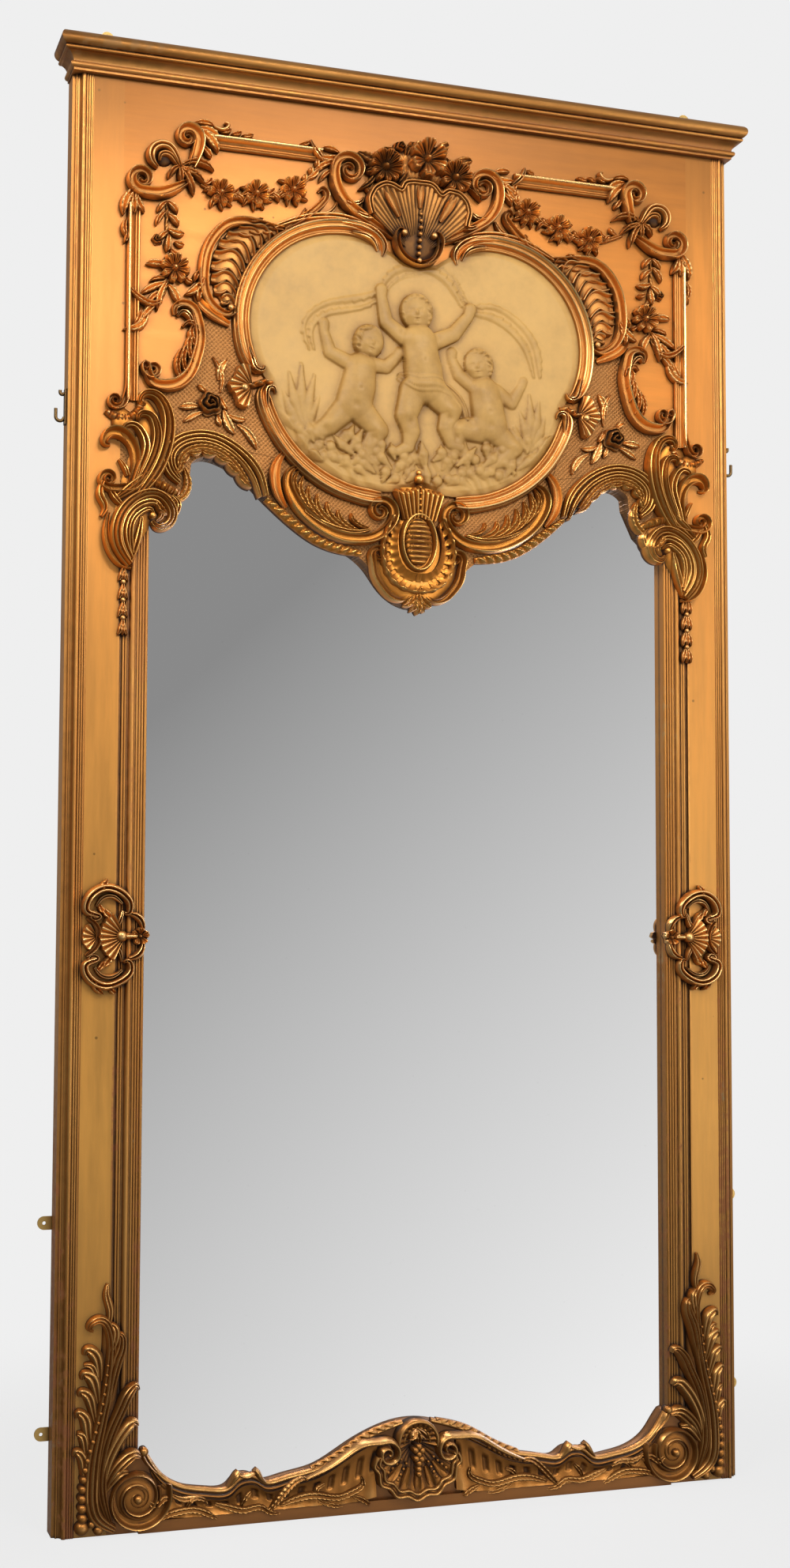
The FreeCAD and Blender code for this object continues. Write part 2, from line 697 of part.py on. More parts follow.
def apron_cartouche():
    """The shaped tablet under the plaque, with a ribbed oval boss."""
    edge = drawn(cartouche_edge)
    edges = [spline(edge), Part.LineSegment(edge[-1], edge[0]).toShape()]
    half = Part.Face(Part.Wire(edges)).extrude(Vector(0, -middle_relief, 0))
    centre = Vector(cabochon_place[0], 0, cabochon_place[1])
    boss = Part.makeSphere(cabochon_half_width, Vector(0, 0, 0))
    stretch = FreeCAD.Matrix()
    stretch.scale(Vector(1, 1, cabochon_half_height / cabochon_half_width))
    boss = boss.transformGeometry(stretch)
    boss.translate(centre)
    reach = 2.0 * cabochon_half_height
    boss = boss.common(box(-reach, reach, -reach, 0, -reach, reach))
    return joined([half, mirrored(half), boss])


def husk_drop():
    """A chain of husks on the stile below the ear."""
    husks = []
    for index in range(husk_count):
        top = husk_top - index * husk_pitch
        path = [(husk_offset, top, 5), (husk_offset, top - 0.45 * husk_pitch, husk_width),
                (husk_offset, top - 1.1 * husk_pitch, 4)]
        husks.append(band(path, low_relief))
    return joined(husks)


def clasp():
    """The open-work clasp halfway up the stile."""
    return joined([band(path, middle_relief) for path in clasp_bands])


def base_corner():
    """The acanthus plume that rises from a volute at the foot of the stile."""
    leaves = [leaf(root, tip, plume_leaf_width, middle_relief) for root, tip in plume_leaves]
    return joined([band(plume_path, high_relief), stud(plume_volute, high_relief)] + leaves)


def base_frieze():
    """Half of the carved base, with a raised rim along its serpentine upper edge."""
    edge = frieze_top()
    foot, middle = Vector(edge[0].x, front, plinth_height), Vector(0, front, plinth_height)
    edges = [Part.LineSegment(middle, foot).toShape(), Part.LineSegment(foot, edge[0]).toShape(), spline(edge)]
    edges.append(Part.LineSegment(edge[-1], middle).toShape())
    field = Part.Face(Part.Wire(edges)).extrude(Vector(0, -low_relief, 0))
    rim = band([(x, z - frieze_rim_inset, frieze_rim_width) for x, z in frieze_edge[1:-1]], middle_relief)
    return joined([field, placed(rim, 0)])


def base_shell():
    """The shell in the middle of the base, under a rosette."""
    shell = fan(base_shell_hinge, base_shell_radius, base_shell_angles, base_shell_flutes, high_relief)
    return joined(shell + [stud(base_shell_hinge + (base_rosette_radius,), high_relief)])


def side_hook():
    """A cast brass hook on the right side face: a plate, an upturned hook and a small curl above it."""
    face_x, y = outer_edge, -hook_depth_place
    foot = spring_height + hook_level
    half = hook_plate_width / 2.0
    out = face_x + hook_plate_thickness
    plate = box(face_x, out, y - half, y + half, foot, foot + hook_height)
    radius = hook_reach / 2.0
    low, high = foot + radius + 2 * hook_bar_radius, foot + hook_height - 2 * hook_bar_radius

    def bar(start, middle, end, tip):
        bend = Part.Arc(Vector(start[0], y, start[1]), Vector(middle[0], y, middle[1]), Vector(end[0], y, end[1]))
        rise = Part.LineSegment(Vector(end[0], y, end[1]), Vector(tip[0], y, tip[1]))
        path = Part.Wire([bend.toShape(), rise.toShape()])
        ring = Part.Circle(Vector(start[0], y, start[1]), Vector(0, 0, -1), hook_bar_radius).toShape()
        return path.makePipeShell([Part.Wire([ring])], True, True)

    hook = bar((out, low), (out + radius, low - radius), (out + hook_reach, low), (out + hook_reach, low + hook_reach))
    curl = bar((out, high), (out + radius / 2.0, high - radius / 2.0), (out + radius, high),
               (out + radius, high + radius / 2.0))
    return joined([plate, hook, curl])


def build():
    """Every node of the mirror, by name."""
    battens = back_battens()
    side_plate_set, side_screws = side_plates()
    top_plate_set, top_screws = top_plates()
    screws = batten_screws() + side_screws + top_screws
    plates = [plate.cut(Part.makeCompound(screws)) for plate in side_plate_set + top_plate_set]
    hardware = plates + screws
    moulding = sight_moulding()
    edge_moulding = cleared(outer_moulding(), hardware)
    frame_upper = placed(lobe(upper_lobe_centre, upper_lobe_radius, upper_lobe_angles))
    frame_lower = placed(lobe(lower_lobe_centre, lower_lobe_radius, lower_lobe_angles))
    plaque = placed(relief_plaque())
    shell = cleared(placed(crest_shell()), [plaque, frame_upper, mirrored(frame_upper)])
    scroll = cleared(placed(crest_scroll()), [frame_upper, shell])
    wing = cleared(placed(rocaille_wing()), [frame_upper])
    corner = placed(corner_scrolls())
    side = placed(side_bar())
    ears = cleared(placed(ear(), edge=sight_half_width), [moulding, side])
    arch = cleared(placed(apron_scroll()), [ears, frame_lower])
    cartouche = cleared(placed(apron_cartouche()), [plaque, frame_lower, mirrored(frame_lower), arch, mirrored(arch)])
    spandrel = cleared(placed(spandrel_scroll()), [ears, wing])
    spray = cleared(placed(rose_spray()), [plaque, frame_upper, frame_lower, spandrel, arch])
    base_plume = cleared(placed(base_corner(), 0, sight_half_width), [moulding])
    centre_shell = placed(base_shell(), 0)
    plinth = box(-sight_half_width, sight_half_width, front - plinth_projection, front, 0, plinth_height)
    plinth = cleared(plinth, [base_plume, mirrored(base_plume), centre_shell])
    husks = cleared(placed(husk_drop(), edge=sight_half_width), [moulding, ears])
    clasp_level = clasp_share * spring_height

    upright = cleared(stile(battens), hardware)
    pairs = {
        "outer_moulding": edge_moulding,
        "sight_moulding": moulding,
        "plaque_frame_upper": frame_upper,
        "plaque_frame_lower": frame_lower,
        "crest_scroll": scroll,
        "rocaille_wing": wing,
        "top_bar": placed(top_bar()),
        "side_bar": side,
        "corner_scrolls": corner,
        "drop_garland": cleared(placed(drop_garland()), [side, corner, spandrel]),
        "spandrel_scroll": spandrel,
        "rose_spray": spray,
        "ear": ears,
        "apron_scroll": arch,
        "clasp": cleared(placed(clasp(), clasp_level, sight_half_width), [moulding, edge_moulding]),
        "base_corner": base_plume,
        "base_frieze": cleared(base_frieze(), [base_plume, centre_shell, plinth]),
    }
    nodes = {
        "head_panel": box(-moulding_step, moulding_step, front, glass_front, mid_rail_foot, panel_height),
        "apron_board": apron_board(),
        "top_rail": rail(panel_height - rail_height, panel_height),
        "mid_rail": rail(mid_rail_foot, mid_rail_foot + rail_height),
        "bottom_rail": bottom_rail(),
        "mirror_glass": box(-glass_half_width, glass_half_width, glass_front, glass_back, glass_foot, glass_top),
        "backboards": Part.makeCompound(backboards()),
        "back_battens": Part.makeCompound([cleared(batten, screws) for batten in battens]),
        "wood_screws": Part.makeCompound(screws),
        "cornice_front": cornice_front(),
        "cornice_right_return": cornice_return(),
        "cornice_left_return": mirrored(cornice_return()),
        "cornice_block": cleared(box(-block_half_width, block_half_width, front, 0, panel_height, cornice_top),
                                 hardware),
        "plinth_strip": plinth,
        "relief_plaque": plaque,
        "crest_shell": shell,
        "crest_flowers": cleared(placed(crest_flowers()), [shell, scroll, mirrored(scroll)]),
        "apron_cartouche": cartouche,
        "base_shell": centre_shell,
        "husk_drops": Part.makeCompound([husks, mirrored(husks)]),
        "right_stile": upright,
        "left_stile": mirrored(upright),
        "mirror_plates": Part.makeCompound(plates),
        "side_hooks": Part.makeCompound([side_hook(), mirrored(side_hook())]),
    }
    for name, shape in pairs.items():
        nodes[name + "_right"] = shape
        nodes[name + "_left"] = mirrored(shape)
    right_swag = placed(swag(swag_flowers_right))
    left_swag = placed(swag(swag_flowers_left))
    nodes["swag_right"] = cleared(right_swag, [corner, scroll, wing])
    nodes["swag_left"] = mirrored(cleared(left_swag, [corner, scroll, wing]))
    return nodes


os.makedirs("parts", exist_ok=True)
for node_name, node_shape in build().items():
    node_shape.exportStep("parts/" + node_name + ".step")
    kinds = [solid.isValid() for solid in node_shape.Solids]
    print(node_name, len(kinds), "solids", "valid" if all(kinds) else "INVALID", round(node_shape.Volume))
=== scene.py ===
"""The carved and gilded look of a tall giltwood pier mirror, laid over its construction frame."""
import json
import logging
import math
from dataclasses import dataclass, field, replace
from enum import Enum
from typing import Callable, ClassVar, Sequence, Union

import bpy
import numpy as np
from mathutils import Matrix, Vector

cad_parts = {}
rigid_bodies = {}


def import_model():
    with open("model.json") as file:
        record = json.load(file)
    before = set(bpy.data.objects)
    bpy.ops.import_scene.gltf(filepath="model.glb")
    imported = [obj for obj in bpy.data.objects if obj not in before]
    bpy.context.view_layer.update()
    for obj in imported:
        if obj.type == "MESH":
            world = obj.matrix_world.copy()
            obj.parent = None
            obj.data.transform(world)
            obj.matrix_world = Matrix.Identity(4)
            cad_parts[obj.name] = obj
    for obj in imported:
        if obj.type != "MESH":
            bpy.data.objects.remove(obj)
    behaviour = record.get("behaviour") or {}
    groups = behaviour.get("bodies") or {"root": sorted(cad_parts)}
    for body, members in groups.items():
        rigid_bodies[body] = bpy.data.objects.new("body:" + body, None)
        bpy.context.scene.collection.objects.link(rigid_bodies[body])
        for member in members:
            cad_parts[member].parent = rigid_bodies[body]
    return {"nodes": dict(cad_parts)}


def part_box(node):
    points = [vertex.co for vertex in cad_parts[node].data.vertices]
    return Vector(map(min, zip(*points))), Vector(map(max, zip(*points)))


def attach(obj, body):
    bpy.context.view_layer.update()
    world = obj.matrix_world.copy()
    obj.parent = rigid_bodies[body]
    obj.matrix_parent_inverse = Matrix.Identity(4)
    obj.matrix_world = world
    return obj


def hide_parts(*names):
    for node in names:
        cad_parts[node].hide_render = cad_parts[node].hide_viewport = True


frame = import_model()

LOG = logging.getLogger("mirror")
MM = 0.001  # metres in a millimetre
STATION_STEP = 1.9  # millimetres from one station of a band to the next
STATION_LIMITS = (10, 320)  # fewest and most stations of a band
REED_WIDTH = 6.4  # width of a reed where reeds are fitted to a band
REED_LIMITS = (2, 4)  # fewest and most fitted reeds
UNDERCUT = 0.02  # how far a band's skirt leans in for each millimetre of sink
# The finish values below 0 paint shade down the sides of bands and the feet of domes.
SKIRT_SHADE = -0.7  # finish value of a band's skirt
FOOT_SHADE = -0.6  # finish value of a dome's foot
CREASE_DEGREES = 62.0  # edges that turn more than this stay sharp

Colour = tuple[float, float, float]
Row = tuple[float, ...]
Path = Sequence[Row]
Value = Union["Socket", float, Colour]
Reach = Callable[[np.ndarray], np.ndarray]
Relief = Callable[[np.ndarray, np.ndarray], np.ndarray]


class Side(Enum):
    """Which half of the mirror a piece stands on."""

    RIGHT = "right"
    LEFT = "left"

    @property
    def sign(self) -> float:
        """1 on the right and -1 on the left."""
        return 1.0 if self is Side.RIGHT else -1.0


class Finish(Enum):
    """The finishes of the mirror."""

    CARVED_GILT = "carved_gilt"
    SIGHT_GILT = "sight_gilt"
    BASE_GILT = "base_gilt"
    MOULDING_GILT = "moulding_gilt"
    CORNICE_GILT = "cornice_gilt"
    HEAD_GILT = "head_gilt"
    SATIN_GILT = "satin_gilt"
    RAIL_GILT = "rail_gilt"
    HATCHED_GILT = "hatched_gilt"
    PLASTER = "plaster"
    BRASS = "brass"
    BRONZE = "bronze"
    STEEL = "steel"
    BARE_WOOD = "bare_wood"
    SILVERED_GLASS = "silvered_glass"


class Profile(Enum):
    """How a carved band is shaped across its width."""

    ROUND = "round"
    SCROLL = "scroll"
    REEDED = "reeded"
    LEAF = "leaf"
    ROPE = "rope"
    RIBBED = "ribbed"
    BAR = "bar"
    FRAME = "frame"
    COVE = "cove"


@dataclass(frozen=True)
class Section:
    """The cross section of a band.

    Args:
        profile: the kind of section.
        reeds: how many reeds a reeded section has, or 0 to fit them to the width.
        pitch: millimetres from one twist, rib or vein to the next.
        groove: how deep the grooves between reeds are, as a share of the relief.
    """

    profile: Profile
    reeds: int = 3
    pitch: float = 9.0
    groove: float = 0.58

    def places(self) -> np.ndarray:
        """Where the section is sampled across the width, from -1 to 1."""
        count = {Profile.REEDED: 8 * self.reeds + 1, Profile.BAR: 33, Profile.FRAME: 37, Profile.ROUND: 13}
        return np.linspace(-1.0, 1.0, count.get(self.profile, 21))

    def heights(self, across: np.ndarray, along: np.ndarray) -> np.ndarray:
        """Relief between 0 and 1.

        Args:
            across: places across the width, one row.
            along: millimetres along the band, one column.
        Returns:
            The relief at each station and place.
        """
        side = np.abs(across)
        flat = np.zeros_like(along)
        turn = 2.0 * math.pi * along / self.pitch
        if self.profile is Profile.ROUND:
            return np.sqrt(1.0 - 0.95 * across**2) + flat
        if self.profile is Profile.SCROLL:
            outer = np.exp(-(((across - 0.66) / 0.27) ** 2))
            inner = 0.8 * np.exp(-(((across + 0.76) / 0.17) ** 2))
            fall = 1.0 - 0.5 * np.clip((side - 0.82) / 0.18, 0.0, 1.0) ** 2
            return (0.36 + 0.64 * np.maximum(outer, inner)) * fall + flat
        if self.profile is Profile.COVE:
            return 0.35 + 0.65 * side**2.2 - 0.5 * np.clip((side - 0.86) / 0.14, 0.0, 1.0) ** 2 + flat
        if self.profile is Profile.REEDED:
            phase = (across + 1.0) / 2.0 * self.reeds
            ripple = np.abs(np.sin(math.pi * phase)) ** 0.8
            return (1.0 - self.groove * (1.0 - ripple)) * np.sqrt(1.0 - 0.6 * across**2) + flat
        if self.profile is Profile.LEAF:
            lobes = 0.42 + 0.5 * np.sin(math.pi * np.clip(side, 0.0, 1.0)) ** 0.8
            rib = 0.22 * np.exp(-((across / 0.09) ** 2))
            veins = 0.09 * np.cos(turn + 5.0 * side) * np.clip(2.0 * side, 0.0, 1.0)
            return (lobes + rib) * (1.0 - 0.55 * np.clip((side - 0.75) / 0.25, 0.0, 1.0) ** 2) + veins
        if self.profile is Profile.ROPE:
            return np.sqrt(1.0 - 0.92 * across**2) * (0.76 + 0.24 * np.cos(turn + 2.4 * across))
        if self.profile is Profile.RIBBED:
            return np.sqrt(1.0 - 0.9 * across**2) * (0.8 + 0.2 * np.cos(turn))
        if self.profile is Profile.BAR:
            at = [-1.0, -0.96, -0.8, -0.62, -0.56, -0.4, -0.22, -0.14, -0.06, 0.12, 0.3, 0.5, 0.72, 0.9, 1.0]
            of = [0.2, 0.5, 0.62, 0.52, 0.36, 0.5, 0.4, 0.3, 0.34, 0.42, 0.72, 0.95, 1.0, 0.8, 0.3]
            return np.interp(across, at, of) + flat
        at = [-1.0, -0.92, -0.8, -0.7, -0.62, -0.45, -0.3, -0.2, -0.05, 0.1, 0.22, 0.4, 0.55, 0.66, 0.72, 0.86, 1.0]
        of = [0.25, 0.5, 0.56, 0.5, 0.36, 0.34, 0.48, 0.66, 0.72, 0.62, 0.66, 0.92, 1.0, 0.86, 0.55, 0.5, 0.15]
        return np.interp(across, at, of) + flat


ROUND = Section(Profile.ROUND)
SCROLL = Section(Profile.SCROLL)
COVE = Section(Profile.COVE)
REEDS = Section(Profile.REEDED, 0)
LEAF = Section(Profile.LEAF, pitch=7.0)
ROPE = Section(Profile.ROPE, pitch=13.0)
TWIN = Section(Profile.REEDED, 2)
FROND = Section(Profile.REEDED, 0, groove=0.34)
LOBE = Section(Profile.REEDED, 2, groove=0.26)
RIBBED = Section(Profile.RIBBED, pitch=5.0)
BAR = Section(Profile.BAR)
FRAME = Section(Profile.FRAME)


def curve(points: Path | np.ndarray, count: int) -> np.ndarray:
    """Samples a natural cubic spline by chord length.

    Args:
        points: rows whose first two columns are the place.
        count: how many rows to return.
    Returns:
        The sampled rows, with every column interpolated.
    """
    points = np.array(points, dtype=float)
    steps = np.maximum(np.linalg.norm(np.diff(points[:, :2], axis=0), axis=1), 1e-6)
    marks = np.concatenate([[0.0], np.cumsum(steps)])
    size = len(points)
    system = np.eye(size)
    right = np.zeros_like(points)
    for row in range(1, size - 1):
        before, after = steps[row - 1], steps[row]
        system[row, row - 1: row + 2] = (before, 2.0 * (before + after), after)
        slopes = (points[row + 1] - points[row]) / after - (points[row] - points[row - 1]) / before
        right[row] = 6.0 * slopes
    bends = np.linalg.solve(system, right)
    at = np.linspace(0.0, marks[-1], count)
    span = np.clip(np.searchsorted(marks, at, "right") - 1, 0, size - 2)
    step = steps[span][:, None]
    gone = (at - marks[span])[:, None]
    slope = (points[span + 1] - points[span]) / step - step * (2.0 * bends[span] + bends[span + 1]) / 6.0
    twist = (bends[span + 1] - bends[span]) / (6 * step)
    return points[span] + slope * gone + bends[span] / 2.0 * gone**2 + twist * gone**3


def spiral(centre: Row, radii: Row, start: float, turns: float, widths: Row) -> list[Row]:
    """Centre line of a volute.

    Args:
        centre: its eye.
        radii: first and last radius.
        start: angle of the first point in degrees.
        turns: how many turns, negative for clockwise.
        widths: first and last width.
    Returns:
        Rows of place and width.
    """
    count = max(8, int(abs(turns) * 14))
    rows = []
    for index in range(count + 1):
        share = index / count
        angle = math.radians(start + 360.0 * turns * share)
        radius = radii[0] + (radii[1] - radii[0]) * share**0.85
        width = widths[0] + (widths[1] - widths[0]) * share
        rows.append((centre[0] + radius * math.cos(angle), centre[1] + radius * math.sin(angle), width))
    return rows


def arc(centre: Row, radius: float, angles: Row, widths: Sequence[float]) -> list[Row]:
    """Centre line along a circle.

    Args:
        centre: the circle's centre.
        radius: its radius.
        angles: first and last angle in degrees.
        widths: the width at each of the evenly spaced points.
    Returns:
        Rows of place and width.
    """
    rows = []
    for share, width in zip(np.linspace(0.0, 1.0, len(widths)), widths):
        angle = math.radians(angles[0] + (angles[1] - angles[0]) * share)
        rows.append((centre[0] + radius * math.cos(angle), centre[1] + radius * math.sin(angle), width))
    return rows


def ray(height: float, angle: float, rows: Path) -> list[Row]:
    """Centre line straight out from a point on the middle line of the mirror.

    Args:
        height: how high the point is.
        angle: the way out in degrees.
        rows: distance, width and, if wanted, share of the height at each place.
    Returns:
        Rows of place, width and share.
    """
    turn = math.radians(angle)
    return [(reach * math.cos(turn), height + reach * math.sin(turn), *rest) for reach, *rest in rows]


def mirrored(rows: Path, sign: float) -> list[Row]:
    """The same rows, on the other side of the middle line where the sign is -1."""
    return [(sign * row[0], *row[1:]) for row in rows]


def tube(numbers: np.ndarray) -> np.ndarray:
    """Quads between neighbouring rings of corner numbers that close on themselves."""
    here, there = numbers[:-1], numbers[1:]
    return np.stack([here, np.roll(here, -1, 1), np.roll(there, -1, 1), there], axis=-1).reshape(-1, 4)


@dataclass
class Carving:
    """Closed carved shapes on the front of the panel, in millimetres of panel place and relief.

    Args:
        front: the panel's front plane.
        side: the half that it is for; the shapes are drawn for the right one.
        sink: how far the shapes reach into the panel.
        rise: the finish value of each corner, 0 in the hollows to 1 on the crests; the gilt finishes turn it into
            painted shade in the hollows and a painted highlight on the crests.
    """

    front: float
    side: Side = Side.RIGHT
    sink: float = 1.2
    points: list[np.ndarray] = field(default_factory=list)
    faces: list[np.ndarray] = field(default_factory=list)
    rise: list[np.ndarray] = field(default_factory=list)
    count: int = 0

    def add(self, points: np.ndarray, faces: list[np.ndarray], rise: np.ndarray) -> None:
        """Takes in a closed shape and turns its faces outward.

        Args:
            points: x, relief and z of each corner.
            faces: tables of corner numbers, one table for each number of corners.
            rise: the finish value of each corner.
        """
        middle = points.mean(axis=0)
        volume = 0.0
        for table in faces:
            corners = points[table] - middle
            volume += np.einsum("fcx,fx->", np.cross(corners[:, 1:-1], corners[:, 2:]), corners[:, 0])
        for table in faces:
            self.faces.append((table[:, ::-1] if volume > 0.0 else table) + self.count)
        self.points.append(points)
        self.rise.append(rise)
        self.count += len(points)

    def surface(self, x: np.ndarray, high: np.ndarray, z: np.ndarray, rise: np.ndarray) -> None:
        """Closes a grid of relief points down to the panel.

        Args:
            x: places across, stations by places.
            high: relief there.
            z: places up.
            rise: the finish value there.
        """
        grid = np.stack([x, high, z], axis=-1)
        middle = grid[:, grid.shape[1] // 2][:, None]
        under = UNDERCUT * self.sink
        first, last = ((1.0 - under) * grid[:, side] + under * middle for side in (slice(0, 1), slice(-1, None)))
        first[:, :, 1] = -self.sink
        last[:, :, 1] = -self.sink
        rings = np.concatenate([first, grid, last], axis=1)
        # The skirt takes the painted shade value.
        low = np.full((len(grid), 1), SKIRT_SHADE)
        values = np.concatenate([low, rise, low], axis=1)
        numbers = np.arange(values.size).reshape(values.shape)
        caps = np.stack([numbers[0, ::-1], numbers[-1]])
        self.add(rings.reshape(-1, 3), [tube(numbers), caps], values.reshape(-1))

    def band(self, path: Path, section: Section, height: float, lift: float = 0.0, flip: bool = False,
             tone: float = 1.0) -> None:
        """A carved band along a centre line.

        Args:
            path: rows of x, z, width and, if wanted, a share of the height.
            section: its cross section; the main rim lies on the outside of the bend.
            height: its full relief.
            lift: relief that it stands on.
            flip: puts the main rim on the other side.
            tone: how bright its crests are gilded; it scales the finish values, so a low tone paints the band darker as
                shade.
        """
        rows = np.array([tuple(row) for row in path], dtype=float)
        if section.profile is Profile.REEDED and not section.reeds:
            section = replace(section, reeds=int(np.clip(round(rows[:, 2].max() / REED_WIDTH), *REED_LIMITS)))
        if rows.shape[1] == 3:
            share = np.sqrt(np.clip(rows[:, 2] / rows[:, 2].max(), 0.1, 1.0))
            rows = np.column_stack([rows, share])
        length = np.linalg.norm(np.diff(rows[:, :2], axis=0), axis=1).sum()
        rows = curve(rows, int(np.clip(length / STATION_STEP, *STATION_LIMITS)))
        tangent = np.gradient(rows[:, :2], axis=0)
        tangent /= np.maximum(np.linalg.norm(tangent, axis=1), 1e-9)[:, None]
        heading = np.unwrap(np.arctan2(tangent[:, 1], tangent[:, 0]))
        outward = -1.0 if (heading[-1] > heading[0]) != flip else 1.0
        normal = np.stack([-tangent[:, 1], tangent[:, 0]], axis=1) * outward
        gone = np.concatenate([[0.0], np.cumsum(np.linalg.norm(np.diff(rows[:, :2], axis=0), axis=1))])[:, None]
        across = section.places()[None, :]
        relief = np.clip(section.heights(across, gone), 0.02, 1.25)
        half = np.maximum(rows[:, 2], 0.6)[:, None] / 2.0
        self.surface(rows[:, :1] + normal[:, :1] * across * half,
                     lift + relief * height * np.clip(rows[:, 3:4], 0.05, 1.4),
                     rows[:, 1:2] + normal[:, 1:] * across * half, relief * tone)

    def bands(self, rows: Sequence[tuple[Path, Section, float]]) -> None:
        """Several bands, from rows of path, section and height."""
        for path, section, height in rows:
            self.band(path, section, height)

    def dome(self, place: Row, radius: Reach, relief: Relief, size: tuple[int, int] = (48, 14),
             stretch: Row = (1.0, 1.0), rise: Relief | None = None) -> None:
        """A round relief about a centre.

        Args:
            place: x and z of the centre.
            radius: outer radius at an angle.
            relief: relief at a share of the radius and an angle.
            size: how many angles and rings.
            stretch: scale along x and z.
            rise: the finish value there; the relief itself when left out.
        """
        angles = np.linspace(0.0, 2.0 * math.pi, size[0], endpoint=False)[None, :]
        shares = (np.linspace(0.0, 1.0, size[1] + 1)[1:] ** 0.9)[:, None]
        reach = radius(angles) * shares
        high = relief(shares + 0.0 * angles, angles + 0.0 * shares)
        ring = np.stack([place[0] + stretch[0] * reach * np.cos(angles), high,
                         place[1] + stretch[1] * reach * np.sin(angles)], axis=-1)
        base = ring[-1:].copy()
        base[:, :, 1] = -self.sink
        peak = relief(np.zeros((1, 1)), np.zeros((1, 1)))[0, 0]
        points = np.concatenate([[[place[0], peak, place[1]]], ring.reshape(-1, 3), base.reshape(-1, 3)])
        numbers = 1 + np.arange((size[1] + 1) * size[0]).reshape(size[1] + 1, size[0])
        fan = np.stack([0 * numbers[0], np.roll(numbers[0], -1), numbers[0]], axis=-1)
        top = max(float(high.max()), 1e-6)
        values = rise(shares + 0.0 * angles, angles + 0.0 * shares) if rise else high / top
        tones = np.concatenate([[values[0].mean()], values.reshape(-1), np.full(size[0], FOOT_SHADE)])
        self.add(points, [fan, tube(numbers), numbers[-1:, ::-1]], np.clip(tones, SKIRT_SHADE, 1.0))

    def bead(self, x: float, z: float, radius: float, height: float, tone: float = 0.8) -> None:
        """A smooth round bead.

        Args:
            x: its place across.
            z: its place up.
            radius: its radius.
            height: where its top stands.
            tone: how bright it is gilded at its top, a painted highlight that fades towards its edge.
        """
        ball = min(height, 0.9 * radius)
        # Painted highlight: the finish value is highest at the bead's top and falls towards its edge.
        self.dome((x, z), lambda angle: radius + 0.0 * angle,
                  lambda share, angle: height - ball + ball * np.sqrt(1.0 - 0.98 * share**2), (20, 8),
                  rise=lambda share, angle: tone * (1.0 - 0.75 * share**2))

    def beads(self, path: Path, count: int, height: float, tone: float = 0.8) -> None:
        """A string of beads along a path whose width is the bead's."""
        for x, z, width in curve(path, count):
            self.bead(x, z, width / 2.0, height, tone)

    def leaf(self, root: Row, tip: Row, width: float, height: float, bend: float = 0.0, tone: float = 1.0) -> None:
        """A pointed leaf with a midrib.

        Args:
            root: where it grows from.
            tip: where it ends.
            width: its broadest.
            height: its relief.
            bend: sideways swing of its middle as a share of its length.
            tone: how bright it is gilded.
        """
        start, end = np.array(root, dtype=float), np.array(tip, dtype=float)
        way = end - start
        side = np.array([-way[1], way[0]]) * bend
        shape = ((0.0, 0.3, 0.55), (0.3, 0.85, 0.9), (0.6, 1.0, 1.0), (0.85, 0.62, 0.95), (1.0, 0.1, 0.6))
        rows = []
        for share, wide, high in shape:
            x, z = start + way * share + side * 4.0 * share * (1.0 - share)
            rows.append((x, z, width * wide, high))
        self.band(rows, LEAF, height, tone=tone)

    def leaves(self, rows: Path, height: float, tone: float = 1.0, scale: float = 1.0) -> None:
        """Several leaves.

        Args:
            rows: x and z of the root and of the tip, width, and the bend where it isn't 0.1.
            height: their relief.
            tone: how bright they are gilded.
            scale: a factor on their widths.
        """
        for x, z, tip_x, tip_z, width, *bend in rows:
            self.leaf((x, z), (tip_x, tip_z), scale * width, height, bend[0] if bend else 0.1, tone)

    def flower(self, place: Row, radius: float, petals: int, height: float, turn: float = 0.0, eye: float = 0.24,
               shade: float = 1.0, notch: float = 0.25) -> None:
        """An open flower with cupped, ribbed petals round a raised eye.

        Args:
            place: its middle.
            radius: its radius.
            petals: how many petals.
            height: its relief.
            turn: how far it is turned, in radians.
            eye: the eye's share of the radius.
            shade: how bright it is gilded; it scales the painted highlight on the petals.
            notch: how deep the notches between the petals are, as a share of the radius.
        """
        def wave(angle: np.ndarray) -> np.ndarray:
            """1 in the middle of a petal and 0 between two."""
            return np.abs(np.cos(petals * (angle - turn) / 2.0))

        def relief(share: np.ndarray, angle: np.ndarray) -> np.ndarray:
            """The relief of the petals and the eye.

            Args:
                share: shares of the radius.
                angle: the way out, in radians.
            Returns:
                The relief there.
            """
            out = np.clip((share - eye) / (1.0 - eye), 0.0, 1.0)
            split = 1.0 - 0.75 * np.exp(-((wave(angle) / 0.24) ** 2)) * np.clip(2.5 * out, 0.0, 1.0)
            ribs = 1.0 + 0.1 * np.cos(4.0 * petals * (angle - turn)) * np.sin(math.pi * out)
            edge = 1.0 - 0.6 * np.clip((share - 0.86) / 0.14, 0.0, 1.0) ** 2
            boss = 0.82 * np.sqrt(np.clip(1.0 - (share / eye) ** 2, 0.0, 1.0))
            return height * np.maximum((0.38 + 0.6 * out**0.8) * split * ribs * edge, boss)

        def tone(share: np.ndarray, angle: np.ndarray) -> np.ndarray:
            """The finish value of the petals and the eye: a painted highlight towards the petals' rims and on their
            ribs, painted shade in the notches between them.

            Args:
                share: shares of the radius.
                angle: the way out, in radians.
            Returns:
                The finish value there.
            """
            ribs = 0.82 + 0.18 * np.cos(4.0 * petals * (angle - turn))
            bright = -0.1 + 1.35 * share * ribs * np.clip(3.4 * wave(angle), 0.0, 1.0)
            return shade * np.where(share < eye, 0.6, bright)

        def reach(angle: np.ndarray) -> np.ndarray:
            """The outer radius at an angle."""
            lobes = 1.02 - notch + notch * wave(angle) ** 0.5
            return radius * lobes * (1.0 - 0.03 * np.cos(3.0 * petals * (angle - turn)))

        self.dome(place, reach, relief, (18 * petals, 20), rise=tone)

